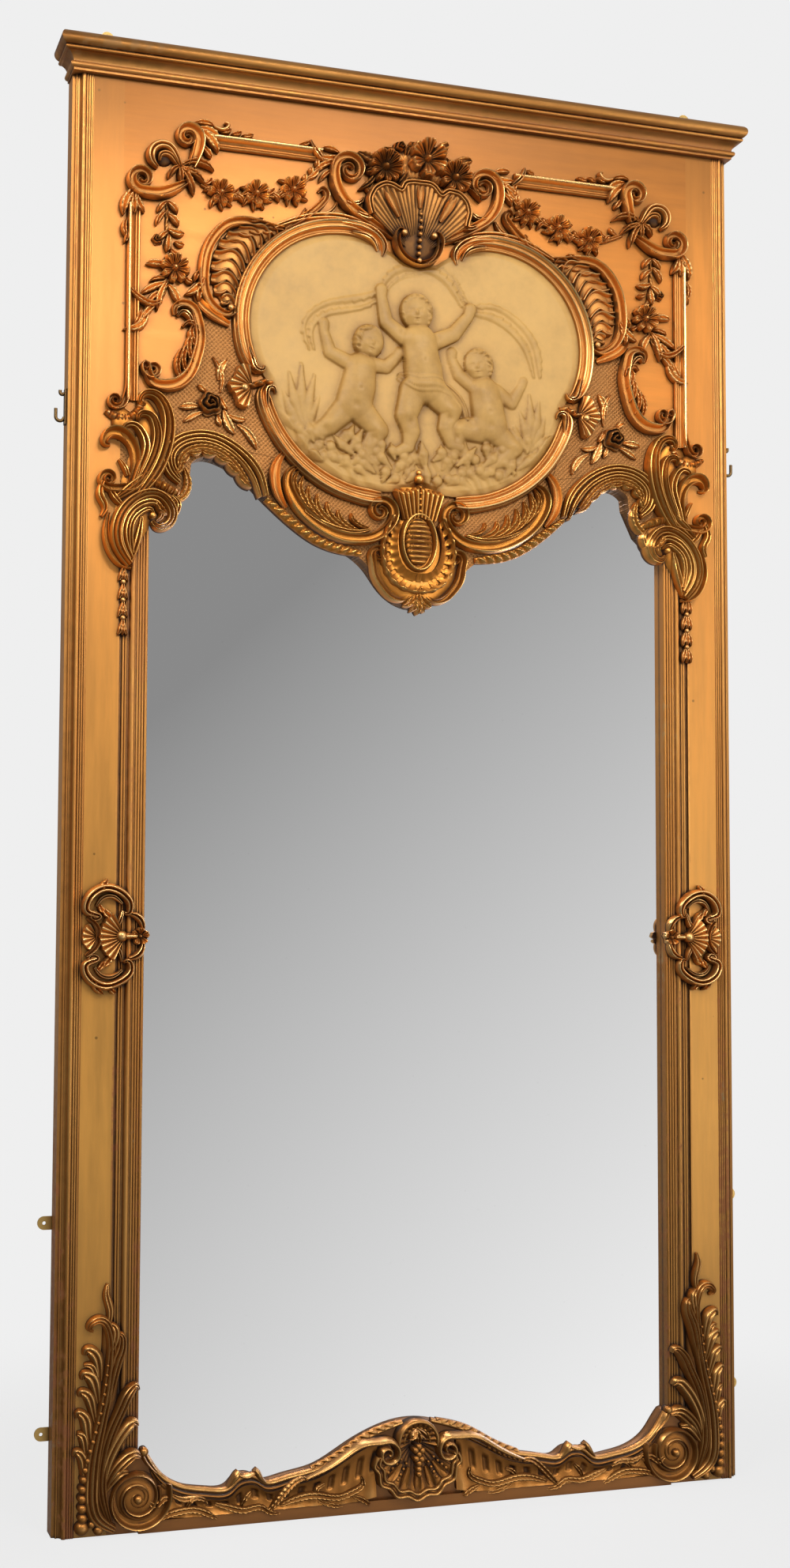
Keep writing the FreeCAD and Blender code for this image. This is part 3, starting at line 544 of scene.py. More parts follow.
    def rose(self, place: Row, radius: float, height: float) -> None:
        """A full rose of folded petals wound about its heart.

        Args:
            place: its heart.
            radius: its radius.
            height: its relief.
        """
        def fold(share: np.ndarray, angle: np.ndarray) -> np.ndarray:
            """1 on the edge of a petal and 0 between two."""
            wind = 2.6 * share * 2.0 * math.pi - angle
            return 0.5 + 0.5 * np.cos(wind + 0.8 * np.sin(3.0 * angle))

        def relief(share: np.ndarray, angle: np.ndarray) -> np.ndarray:
            """The relief at a share of the radius and an angle."""
            petals = 0.45 + 0.55 * fold(share, angle)
            return height * (1.0 - 0.4 * share**2) * petals * np.sqrt(1.0 - 0.9 * share**4)

        # Painted highlight on the folded petal edges, painted shade between them.
        self.dome(place, lambda angle: radius * (0.92 + 0.08 * np.cos(5.0 * angle)), relief, (72, 30),
                  rise=lambda share, angle: 0.5 * fold(share, angle) ** 2)

    def shell(self, hinge: Row, angles: Row, rim: Reach, flutes: float, height: float, inner: float, lip: float,
              sharp: float, tone: float = 1.0) -> None:
        """A fluted shell that opens from its hinge.

        Args:
            hinge: where its flutes meet.
            angles: first and last angle in degrees.
            rim: radius of the rim at an angle in degrees.
            flutes: how many flutes.
            height: relief at the lip.
            inner: share of the radius where it begins.
            lip: how much higher the lip stands than the bowl.
            sharp: how narrow its ridges are.
            tone: how deep it is fluted and how bright it is gilded; a low tone paints the whole shell darker, as shade.
        """
        count = int(max(24, flutes * 10))
        share = np.linspace(0.0, 1.0, count + 1)[:, None]
        degrees = angles[0] + (angles[1] - angles[0]) * share
        turn = np.radians(degrees)
        out = np.linspace(inner, 1.0, 30)[None, :]
        wave = np.abs(np.cos(math.pi * flutes * share)) ** sharp
        reach = rim(degrees) * (1.0 - 0.035 * wave * out**4) * out
        bowl = 0.55 - lip + (0.3 + lip) * out**1.6 + 0.15 * np.sin(math.pi * out)
        ribs = tone * (0.1 + 0.16 * out) * wave * np.clip((1.0 - out) / 0.06, 0.35, 1.0)
        edge = 1.0 - 0.75 * np.clip((out - 0.95) / 0.05, 0.0, 1.0) ** 2
        relief = np.clip((bowl + ribs) * edge, 0.03, 1.2)
        # Painted light: a highlight that grows towards the lip and on the ridges, and shade where the tone is low.
        bright = 0.08 + 0.36 * out + 2.2 * ribs * (0.4 + 0.6 * out) - 0.42 * (1.0 - tone)
        self.surface(hinge[0] + reach * np.cos(turn), relief * height, hinge[1] + reach * np.sin(turn),
                     np.clip(bright, -0.5, 1.0))

    def slotted(self, inside: Path, outside: Path, slots: int, height: float, span: Row) -> None:
        """A hollow ground with a row of short slots across it, with painted shade in the slots and a painted shadow
        along its first edge.

        Args:
            inside: rows of x and z along the first edge.
            outside: rows along the second edge.
            slots: how many slots.
            height: relief of the ground at its edges.
            span: where the slots begin and end between the two edges.
        """
        count = slots * 12
        first, second = curve(inside, count), curve(outside, count)
        part = np.linspace(0.0, 1.0, 25)[None, :]
        share = np.linspace(0.0, 1.0, count)[:, None]
        wave = 0.5 + 0.5 * np.cos(2.0 * math.pi * (slots * share + 0.5 * part))
        begin, end = np.clip((part - span[0]) / 0.06, 0.0, 1.0), np.clip((span[1] - part) / 0.06, 0.0, 1.0)
        left = 1.0 - 0.7 * (np.clip(3.0 * wave - 1.7, 0.0, 1.0) * begin * end)
        hollow = 1.0 - 0.45 * np.sin(math.pi * part)
        # Painted shade in the slots, and a painted shadow that fades from the first edge to the second.
        self.surface(first[:, :1] * (1.0 - part) + second[:, :1] * part, height * (hollow + 0.08 * wave) * left,
                     first[:, 1:2] * (1.0 - part) + second[:, 1:2] * part, (0.2 + 0.15 * wave + 0.3 * part) * left)

    def make(self, name: str, shift: float = 0.0) -> bpy.types.Object:
        """Makes the mesh object.

        Args:
            name: the piece's name.
            shift: millimetres to move along x.
        Returns:
            The new object, linked to the scene.
        """
        points = np.concatenate(self.points)
        sign = self.side.sign
        places = np.column_stack([sign * points[:, 0] + shift, self.front - points[:, 1], points[:, 2]]) * MM
        faces = [face for table in self.faces for face in (table if sign > 0.0 else table[:, ::-1]).tolist()]
        mesh = bpy.data.meshes.new(name)
        mesh.from_pydata(places.tolist(), [], faces)
        values = mesh.attributes.new("rise", "FLOAT", "POINT")
        values.data.foreach_set("value", np.concatenate(self.rise).astype(np.float32))
        mesh.polygons.foreach_set("use_smooth", np.ones(len(mesh.polygons), dtype=bool))
        mesh.set_sharp_from_angle(angle=math.radians(CREASE_DEGREES))
        mesh.update()
        made = bpy.data.objects.new(name, mesh)
        bpy.context.scene.collection.objects.link(made)
        return made


@dataclass(frozen=True)
class Socket:
    """A node's socket whose value takes part in Python arithmetic."""

    shader: "Shader"
    port: bpy.types.NodeSocket

    def __add__(self, other: Value) -> "Socket":
        """This value plus another."""
        return self.shader.math("ADD", self, other)

    def __radd__(self, other: Value) -> "Socket":
        """Another value plus this one."""
        return self.shader.math("ADD", other, self)

    def __sub__(self, other: Value) -> "Socket":
        """This value less another."""
        return self.shader.math("SUBTRACT", self, other)

    def __rsub__(self, other: Value) -> "Socket":
        """Another value less this one."""
        return self.shader.math("SUBTRACT", other, self)

    def __mul__(self, other: Value) -> "Socket":
        """This value times another."""
        return self.shader.math("MULTIPLY", self, other)

    def __rmul__(self, other: Value) -> "Socket":
        """Another value times this one."""
        return self.shader.math("MULTIPLY", other, self)


class Shader:
    """Builds a node tree for a material or the world.

    Args:
        owner: the material or world to fill; its old nodes are removed.
    """

    def __init__(self, owner: bpy.types.Material | bpy.types.World) -> None:
        """Empties the owner's node tree."""
        owner.use_nodes = True
        self.owner = owner
        self.tree = owner.node_tree
        self.tree.nodes.clear()

    @classmethod
    def of(cls, name: str) -> "Shader":
        """A shader for a new material."""
        return cls(bpy.data.materials.new(name))

    def node(self, kind: str, settings: dict[str, object] | None = None,
             inputs: dict[str | int, Value] | None = None) -> bpy.types.Node:
        """Adds a node.

        Args:
            kind: the node's type name.
            settings: its properties.
            inputs: values or sockets for its inputs.
        Returns:
            The node.
        """
        made = self.tree.nodes.new(kind)
        for key, value in (settings or {}).items():
            setattr(made, key, value)
        for key, value in (inputs or {}).items():
            self.plug(made.inputs[key], value)
        return made

    def plug(self, port: bpy.types.NodeSocket, value: Value) -> None:
        """Sets an input to a constant or links it.

        Args:
            port: the input.
            value: a number, a colour or a socket to link.
        """
        if isinstance(value, Socket):
            self.tree.links.new(value.port, port)
        elif isinstance(value, tuple) and port.type == "RGBA":
            port.default_value = (*value, 1.0)[:4]
        else:
            port.default_value = value

    def out(self, made: bpy.types.Node, key: str | int = 0) -> Socket:
        """One of a node's outputs."""
        return Socket(self, made.outputs[key])

    def math(self, operation: str, first: Value, second: Value) -> Socket:
        """Arithmetic on two values."""
        return self.out(self.node("ShaderNodeMath", {"operation": operation}, {0: first, 1: second}))

    def step(self, value: Value, low: float, high: float, bottom: float = 0.0, top: float = 1.0) -> Socket:
        """A smooth step from bottom to top as the value goes from low to high."""
        inputs = {"Value": value, "From Min": low, "From Max": high, "To Min": bottom, "To Max": top}
        return self.out(self.node("ShaderNodeMapRange", {"interpolation_type": "SMOOTHSTEP"}, inputs))

    def blend(self, factor: Value, first: Value, second: Value, kind: str = "MIX") -> Socket:
        """Mixes two colours, whose sockets stand sixth and seventh on the node."""
        settings = {"data_type": "RGBA", "blend_type": kind}
        return self.out(self.node("ShaderNodeMix", settings, {0: factor, 6: first, 7: second}), 2)

    def shade(self, colour: Value, value: Socket) -> Socket:
        """A colour made darker or lighter by a value."""
        return self.blend(1.0, colour, self.grey(value), "MULTIPLY")

    def place(self, scale: Colour = (1.0, 1.0, 1.0)) -> Socket:
        """Object coordinates, stretched."""
        found = self.out(self.node("ShaderNodeTexCoord"), "Object")
        return self.out(self.node("ShaderNodeVectorMath", {"operation": "MULTIPLY"}, {0: found, 1: scale}))

    def height(self) -> Socket:
        """Height above the floor in metres."""
        return self.out(self.node("ShaderNodeSeparateXYZ", None, {0: self.place()}), "Z")

    def rise(self) -> Socket:
        """How high a place on the carving lies, from the hollows to the crests."""
        return self.out(self.node("ShaderNodeAttribute", {"attribute_name": "rise"}), "Fac")

    def grey(self, value: Socket) -> Socket:
        """A grey of that value."""
        return self.out(self.node("ShaderNodeCombineColor", None, {0: value, 1: value, 2: value}))

    def noise(self, scale: float, stretch: Colour = (1.0, 1.0, 1.0), detail: float = 4.0) -> Socket:
        """Noise about 0.5."""
        inputs = {"Vector": self.place(stretch), "Scale": scale, "Detail": detail, "Roughness": 0.6}
        return self.out(self.node("ShaderNodeTexNoise", None, inputs), "Fac")

    def spots(self, scale: float, size: float) -> Socket:
        """Sparse round specks.

        Args:
            scale: how many cells there are in a metre.
            size: a speck's radius as a share of its cell.
        Returns:
            1 in a speck and 0 elsewhere.
        """
        inputs = {"Vector": self.place(), "Scale": scale, "Randomness": 1.0}
        far = self.out(self.node("ShaderNodeTexVoronoi", None, inputs), "Distance")
        return self.step(far, size, 0.6 * size)

    def hollow(self, reach: float) -> Socket:
        """Openness: 1 in the open, towards 0 in corners and hollows."""
        made = self.node("ShaderNodeAmbientOcclusion", {"samples": 6}, {"Distance": reach})
        return self.out(made, "AO")

    def bump(self, height: Value, strength: float, distance: float) -> Socket:
        """A normal from a height."""
        inputs = {"Strength": strength, "Distance": distance, "Height": height}
        return self.out(self.node("ShaderNodeBump", None, inputs))

    def surface(self, inputs: dict[str | int, Value]) -> Socket:
        """A physically based surface."""
        return self.out(self.node("ShaderNodeBsdfPrincipled", None, inputs))

    def finish(self, shader: Socket, kind: str = "ShaderNodeOutputMaterial") -> None:
        """Ends the tree in an output."""
        self.node(kind, None, {"Surface": shader})


@dataclass(frozen=True)
class CarvedGilt:
    """Gilding on carved work: burnished and with a painted highlight on the crests, toned between them, dark brown with
    painted shade in the hollows, and darker towards the foot as toning and painted shade.

    Args:
        finish: which finish it is.
        crest: colour of the burnished crests, with their painted highlight.
        leaf: colour of the toned leaf.
        umber_shade: colour of the hollows, a brown toning darkened as painted shade.
    """

    finish: Finish
    crest: Colour
    leaf: Colour
    umber_shade: Colour

    def material(self) -> bpy.types.Material:
        """Builds the material.

        Returns:
            The material.
        """
        shader = Shader.of(self.finish.value)
        cloud = shader.noise(6.0)
        mottle = shader.noise(60.0)
        fine = shader.noise(380.0, detail=2.0)
        # Painted light: hollows found by ambient occlusion and the low finish values turn dark brown as shade, the high
        # ones take the crest colour as a highlight.
        depth = 0.42 * shader.hollow(0.009) + 0.58 * shader.rise() + 0.24 * (mottle - 0.5)
        toned = shader.step(depth, 0.16, 0.62)
        bright = shader.step(depth, 0.62, 0.98)
        colour = shader.blend(toned, self.umber_shade, self.leaf)
        colour = shader.blend(bright, colour, self.crest)
        # Darker towards the foot: old toning and painted shade.
        foot = shader.step(shader.height() + 0.3 * cloud, 0.1, 1.1, 0.66, 1.0)
        colour = shader.shade(colour, foot * shader.step(cloud, 0.3, 0.7, 0.88, 1.06))
        rough = 0.62 - 0.2 * toned - 0.15 * bright + 0.16 * (mottle - 0.5)
        metal = shader.step(depth, 0.1, 0.5, 0.4, 0.92)
        normal = shader.bump(0.7 * mottle + 0.3 * fine, 0.2, 0.001)
        shader.finish(shader.surface({"Base Color": colour, "Roughness": rough, "Metallic": metal, "Normal": normal}))
        return shader.owner


@dataclass(frozen=True)
class MouldedGilt:
    """Gilding on run mouldings: painted shade over a brown toning in the quirks, rubbed along the edges, with streaks
    of bole and old paint, and darker towards the bottom as painted shade.

    Args:
        finish: which finish it is.
        crest: colour of the rubbed edges.
        leaf: main colour.
        umber_shade: colour of the quirks, a brown toning darkened as painted shade.
        grain: stretch of the streaks along the moulding.
        darkening_height: height in metres above which it is darker.
        reach: how far quirks are looked for, in metres.
        bole: colour of the red clay where the gilding is worn.
        paint: colour of the streaks of old paint.
    """

    finish: Finish
    crest: Colour
    leaf: Colour
    umber_shade: Colour
    grain: Colour
    darkening_height: float
    reach: float
    bole: Colour = (0.36, 0.1, 0.03)
    paint: Colour = (0.42, 0.36, 0.17)

    def material(self) -> bpy.types.Material:
        """Builds the material.

        Returns:
            The material.
        """
        shader = Shader.of(self.finish.value)
        streak = shader.noise(30.0, self.grain, 5.0)
        mottle = shader.noise(70.0)
        height = shader.height()
        air = shader.hollow(self.reach)
        # Painted shade: quirks found by ambient occlusion take the colour of the quirks.
        quirk = shader.step(air + 0.25 * (mottle - 0.5), 0.42, 0.9)
        colour = shader.blend(shader.step(streak, 0.35, 0.75), self.leaf, self.crest)
        colour = shader.blend(quirk, self.umber_shade, colour)
        low = shader.step(height, 0.35, 1.5, 1.0, 0.25)
        worn = low * shader.step(0.7 * shader.noise(17.0, self.grain, 5.0) + 0.3 * mottle, 0.51, 0.59)
        colour = shader.blend(0.7 * worn, colour, self.bole)
        bare = low * shader.step(0.7 * shader.noise(24.0, self.grain, 4.0) + 0.3 * mottle, 0.59, 0.65)
        colour = shader.blend(0.75 * bare, colour, self.paint)
        # Darker above the set height.
        top_darkening = shader.step(height, self.darkening_height, self.darkening_height + 0.006, 1.0, 0.45)
        # Darker towards the bottom as painted shade.
        colour = shader.shade(colour, shader.step(height, 0.0, 1.2, 0.52, 1.0) * top_darkening)
        rough = 0.3 + 0.25 * mottle + 0.15 * worn
        metal = shader.step(quirk, 0.0, 1.0, 0.3, 0.85) * (1.0 - 0.8 * shader.math("MAXIMUM", worn, bare))
        normal = shader.bump(0.5 * mottle + 0.5 * streak, 0.15, 0.0008)
        shader.finish(shader.surface({"Base Color": colour, "Roughness": rough, "Metallic": metal, "Normal": normal}))
        return shader.owner


@dataclass(frozen=True)
class SatinGilt:
    """Matt gilding on the flats, a little cloudy and speckled with age, with painted shade in its corners and towards
    the foot and a painted shadow under the cornice.

    Args:
        finish: which finish it is.
        upper: colour of the head.
        lower: colour at the foot.
        grain: stretch of the brush marks.
        hatch: relief of the tooled hatching in metres, or 0.
        coat: weight of the varnish on a flat that isn't hatched.
    """

    finish: Finish
    upper: Colour
    lower: Colour
    grain: Colour
    hatch: float = 0.0
    coat: float = 0.22

    def material(self) -> bpy.types.Material:
        """Builds the material.

        Returns:
            The material.
        """
        shader = Shader.of(self.finish.value)
        cloud = shader.noise(2.4, detail=5.0)
        brush = shader.noise(9.0, self.grain, 6.0)
        fine = shader.noise(300.0)
        level = shader.step(shader.height() + 0.25 * (cloud - 0.5), 0.5, 1.75)
        # Painted shade towards the foot, and the cornice's painted shadow at the top.
        ends = shader.step(shader.height(), 0.05, 0.6, 0.72, 1.0) * shader.step(shader.height(), 1.88, 2.08, 1.0, 0.56)
        colour = shader.shade(shader.blend(level, self.lower, self.upper), ends)
        colour = shader.shade(colour, shader.step(0.5 * cloud + 0.5 * brush, 0.34, 0.66, 0.8, 1.08))
        stain_and_shade = tuple(0.22 * part for part in self.lower)
        # Painted shade: corners found by ambient occlusion darken towards a deep brown.
        colour = shader.blend(0.6 * (1.0 - shader.step(shader.hollow(0.012), 0.3, 0.9)), colour, stain_and_shade)
        colour = shader.blend(0.7 * shader.spots(19.0, 0.05), colour, stain_and_shade)
        rough = 0.3 + 0.26 * brush + 0.06 * fine
        height, strength, deep = 0.6 * fine + 0.4 * brush, 0.1, 0.0006
        if self.hatch:
            settings = {"wave_type": "BANDS", "bands_direction": "DIAGONAL"}
            inputs = {"Scale": 95.0, "Distortion": 2.0, "Detail": 2.0}
            ways = (shader.place((1.0, 0.0, slope)) for slope in (1.0, -1.0))
            one, two = (shader.node("ShaderNodeTexWave", settings, {"Vector": way, **inputs}) for way in ways)
            height, strength, deep = shader.out(one, "Fac") * shader.out(two, "Fac") + 0.3 * fine, 0.5, self.hatch
        normal = shader.bump(height, strength, deep)
        shader.finish(shader.surface({"Base Color": colour, "Roughness": rough, "Metallic": 0.7, "Normal": normal,
                                      "Coat Weight": 0.0 if self.hatch else self.coat, "Coat Roughness": 0.32}))
        return shader.owner


@dataclass(frozen=True)
class PlainFinish:
    """A simple surface with some mottling, and with dirt and painted shade in its hollows: plaster, brass, bronze,
    steel or bare wood.

    Args:
        finish: which finish it is.
        light: colour of the high places.
        dark: colour of the stains and of the dirt and painted shade in the hollows.
        metal: metallic share.
        rough: roughness.
        grain: stretch of the mottling.
        reach: how far hollows are looked for, in metres.
        relief: bump distance in metres.
        carved: how much the carved depth darkens it.
    """

    finish: Finish
    light: Colour
    dark: Colour
    metal: float
    rough: float
    grain: Colour = (1.0, 1.0, 1.0)
    reach: float = 0.012
    relief: float = 0.0004
    carved: float = 0.0

    def material(self) -> bpy.types.Material:
        """Builds the material.

        Returns:
            The material.
        """
        shader = Shader.of(self.finish.value)
        cloud = shader.noise(7.0, self.grain)
        mottle = shader.noise(38.0, self.grain, 6.0)
        # Dirt and painted shade: hollows found by ambient occlusion, with mottled stains, take the dark colour.
        depth = shader.hollow(self.reach) + 0.4 * (mottle - 0.5) + 0.4 * (cloud - 0.5)
        depth = depth + self.carved * (shader.rise() - 1.0)
        colour = shader.blend(shader.step(depth, 0.3, 1.02), self.dark, self.light)
        rough = self.rough + 0.2 * (mottle - 0.5)
        normal = shader.bump(mottle, 0.2, self.relief)
        inputs = {"Base Color": colour, "Roughness": rough, "Metallic": self.metal, "Normal": normal}
        shader.finish(shader.surface(inputs))
        return shader.owner


@dataclass(frozen=True)
class SilveredGlass:
    """Old silvered glass with a few specks and a faint haze.

    Args:
        finish: which finish it is.
        silver: colour of the reflection.
        speck: colour of the specks.
    """

    finish: Finish
    silver: Colour
    speck: Colour = (0.35, 0.33, 0.3)

    def material(self) -> bpy.types.Material:
        """Builds the material.

        Returns:
            The material.
        """
        shader = Shader.of(self.finish.value)
        haze = shader.noise(5.0)
        colour = shader.blend(0.3 * shader.spots(40.0, 0.03), self.silver, self.speck)
        shader.finish(shader.surface({"Base Color": colour, "Roughness": 0.01 + 0.02 * haze, "Metallic": 1.0}))
        return shader.owner


class Finishes:
    """Every material of the mirror, made once."""

    def __init__(self) -> None:
        """Makes the materials."""
        upright, level = (1.0, 1.0, 0.06), (0.06, 1.0, 1.0)
        finishes = [
            CarvedGilt(Finish.CARVED_GILT, (1.0, 0.62, 0.24), (0.67, 0.3, 0.078), (0.05, 0.021, 0.009)),
            CarvedGilt(Finish.SIGHT_GILT, (1.0, 0.55, 0.15), (0.92, 0.36, 0.058), (0.08, 0.028, 0.009)),
            CarvedGilt(Finish.BASE_GILT, (0.92, 0.48, 0.15), (0.66, 0.265, 0.058), (0.06, 0.023, 0.009)),
            MouldedGilt(Finish.MOULDING_GILT, (0.9, 0.45, 0.12), (0.66, 0.28, 0.065), (0.07, 0.026, 0.01), upright,
                        9.0, 0.007),
            MouldedGilt(Finish.CORNICE_GILT, (0.72, 0.34, 0.085), (0.4, 0.16, 0.034), (0.03, 0.01, 0.003), level,
                        2.121, 0.016),
            SatinGilt(Finish.HEAD_GILT, (0.66, 0.24, 0.036), (0.68, 0.33, 0.055), (0.7, 1.0, 7.0)),
            SatinGilt(Finish.SATIN_GILT, (0.67, 0.26, 0.045), (0.72, 0.35, 0.07), (7.0, 1.0, 0.6)),
            SatinGilt(Finish.RAIL_GILT, (0.44, 0.17, 0.036), (0.44, 0.17, 0.036), (0.7, 1.0, 7.0)),
            SatinGilt(Finish.HATCHED_GILT, (0.41, 0.175, 0.045), (0.41, 0.175, 0.045), (3.0, 1.0, 3.0), 0.0012),
            PlainFinish(Finish.PLASTER, (0.79, 0.465, 0.135), (0.28, 0.125, 0.018), 0.0, 0.5, reach=0.016, carved=0.55),
            PlainFinish(Finish.BRASS, (0.62, 0.4, 0.13), (0.12, 0.08, 0.03), 0.9, 0.36, reach=0.004),
            PlainFinish(Finish.BRONZE, (0.22, 0.13, 0.05), (0.04, 0.026, 0.014), 0.85, 0.4, reach=0.006),
            PlainFinish(Finish.STEEL, (0.45, 0.43, 0.4), (0.12, 0.11, 0.1), 0.95, 0.4, reach=0.003),
            PlainFinish(Finish.BARE_WOOD, (0.42, 0.26, 0.13), (0.2, 0.11, 0.05), 0.0, 0.7, (14.0, 14.0, 0.7), 0.02,
                        0.0008),
            SilveredGlass(Finish.SILVERED_GLASS, (0.93, 0.93, 0.93)),
        ]
        self.made = {kind.finish: kind.material() for kind in finishes}

    def dress(self, piece: bpy.types.Object, finish: Finish) -> None:
        """Gives a piece one finish on all its faces."""
        piece.data.materials.clear()
        piece.data.materials.append(self.made[finish])


@dataclass
class Carcass:
    """The joinery, mouldings, glass and metalwork that keep their construction shape."""

    finishes: Finishes

    plan: ClassVar[dict[Finish, tuple[str, ...]]] = {
        Finish.HEAD_GILT: ("head_panel",),
        Finish.SATIN_GILT: ("left_stile", "right_stile"),
        Finish.RAIL_GILT: ("bottom_rail", "plinth_strip"),
        Finish.HATCHED_GILT: ("apron_board",),
        Finish.CORNICE_GILT: ("cornice_front", "cornice_left_return", "cornice_right_return", "cornice_block"),
        Finish.MOULDING_GILT: ("outer_moulding_left", "outer_moulding_right", "sight_moulding_left",
                               "sight_moulding_right"),
        Finish.SILVERED_GLASS: ("mirror_glass",),
        Finish.BRASS: ("mirror_plates",),
        Finish.BRONZE: ("side_hooks",),
        Finish.STEEL: ("wood_screws",),
        Finish.BARE_WOOD: ("backboards", "back_battens", "top_rail", "mid_rail"),
    }

    def dress(self) -> None:
        """Gives every construction piece its finish."""
        for finish, nodes in self.plan.items():
            for node in nodes:
                self.finishes.dress(frame["nodes"][node], finish)
                LOG.info("%s: %s", node, finish.value)


@dataclass
class Ornament(Carving):
    """A carved sub-assembly of one side, drawn for the right half and mirrored on the left."""

    stem: ClassVar[str] = "ornament"
    nodes: ClassVar[tuple[str, ...]] = ()
    shift: ClassVar[float] = 0.0
    single: ClassVar[bool] = False
    gilt: ClassVar[Finish] = Finish.CARVED_GILT

    def carve(self) -> None:
        """Draws the shapes."""
        raise NotImplementedError

    def build(self, finishes: Finishes) -> None:
        """Makes the piece and lets it stand for its construction nodes.

        Args:
            finishes: the materials.
        """
        self.carve()
        ending = "" if self.single else "_" + self.side.value
        piece = self.make("carved_" + self.stem + ending, self.shift)
        # What hangs over the glass has a gilt of its own and stays out of the glass's reflection.
        piece.visible_glossy = self.gilt is Finish.CARVED_GILT
        finishes.dress(piece, self.gilt)
        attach(piece, "root")
        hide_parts(*[node + ending for node in self.nodes])
        LOG.info("%s: %d faces", piece.name, len(piece.data.polygons))


@dataclass
class PlaqueFrame(Ornament):
    """The two moulded lobes round the plaque, with leafy curled ends and coved straps."""

    upper_lobe: Row = (120, 1742, 158.5)
    lower_lobe: Row = (60, 1680, 191.5)
    moulding_width: float = 27.0
    moulding_relief: float = 17.0
    curl_relief: float = 19.0

    stem = "plaque_frame"
    nodes = ("plaque_frame_upper", "plaque_frame_lower")

    def carve(self) -> None:
        """Draws the lobes of one side."""
        upper = [(63, 1862, 9), (64, 1874, 17), (76, 1888, 23)]
        upper += arc(self.upper_lobe[:2], self.upper_lobe[2], (96, -18), [self.moulding_width] * 12)
        upper += [(261, 1675, 22), (251, 1666, 12)]
        lower = [(239, 1645, 10), (243, 1636, 20)]
        lower += arc(self.lower_lobe[:2], self.lower_lobe[2], (-19, -86), [self.moulding_width] * 9)
        lower += [(60, 1489, 22)]
        self.bands([
            (upper, FRAME, self.moulding_relief),
            (lower, FRAME, self.moulding_relief),
        ])
        for path in (
            [(140, 1907, 5), (110, 1906, 11), (84, 1901, 13), (64, 1889, 12), (56, 1873, 9), (60, 1860, 5)],
            [(108, 1892, 5), (88, 1888, 9), (74, 1879, 8), (68, 1867, 4)],
            [(268, 1700, 5), (262, 1680, 9), (254, 1667, 9), (245, 1668, 7), (243, 1675, 4)],
            [(238, 1612, 5), (240, 1630, 9), (236, 1642, 9), (228, 1641, 7), (226, 1634, 4)],
        ):
            self.band(path, REEDS, self.curl_relief)
        self.bands([
            ([(350, 1782, 5), (341, 1760, 13), (323, 1745, 15), (296, 1732, 8)], COVE, 14),
            ([(206, 1552, 5), (222, 1531, 13), (226, 1507, 16), (221, 1485, 13), (208, 1464, 6)], COVE, 16),
        ])


@dataclass
class Crest(Ornament):
    """The C-scroll beside the crest, its leaves and the branch along the frame."""

    scroll_relief: float = 20.0
    leaf_relief: float = 13

    stem = "crest_scroll"
    nodes = ("crest_scroll",)
    shift = -3.5

    def carve(self) -> None:
        """Draws the scroll of one side."""
        body = [(36, 1890, 4), (50, 1897, 10), (71, 1908, 14), (93, 1921, 17), (114, 1936, 18), (128, 1956, 18),
                (133, 1976, 17)]
        self.bands([
            (body + spiral((108, 1989), (25, 5), -6, 1.45, (16, 5)), SCROLL, self.scroll_relief),
            ([(112, 1940, 6), (101, 1937, 8), (92, 1940, 8), (86, 1949, 4)], REEDS, 14),
            ([(96, 1923, 8), (80, 1918, 10), (68, 1921, 9), (61, 1931, 5)], REEDS, 16),
            ([(208, 1887, 6), (184, 1904, 11), (164, 1919, 12), (150, 1934, 12), (145, 1947, 10), (151, 1954, 8),
              (157, 1949, 4)], SCROLL, 16),
            ([(226, 1887, 7), (190, 1903, 11), (155, 1912, 13), (120, 1914, 13), (90, 1908, 11), (60, 1896, 5)],
             REEDS, 14),
            ([(128, 1936, 4), (134, 1924, 8), (146, 1916, 8), (158, 1916, 4)], REEDS, 12),
        ])
        self.leaves([
            (188, 1902, 178, 1922, 9, 0.15), (122, 2010, 160, 2004, 12, -0.12), (124, 2013, 152, 2017, 9),
            (131, 1998, 163, 1980, 11), (133, 1986, 156, 1964, 9), (84, 1966, 72, 1958, 8),
        ], self.leaf_relief)


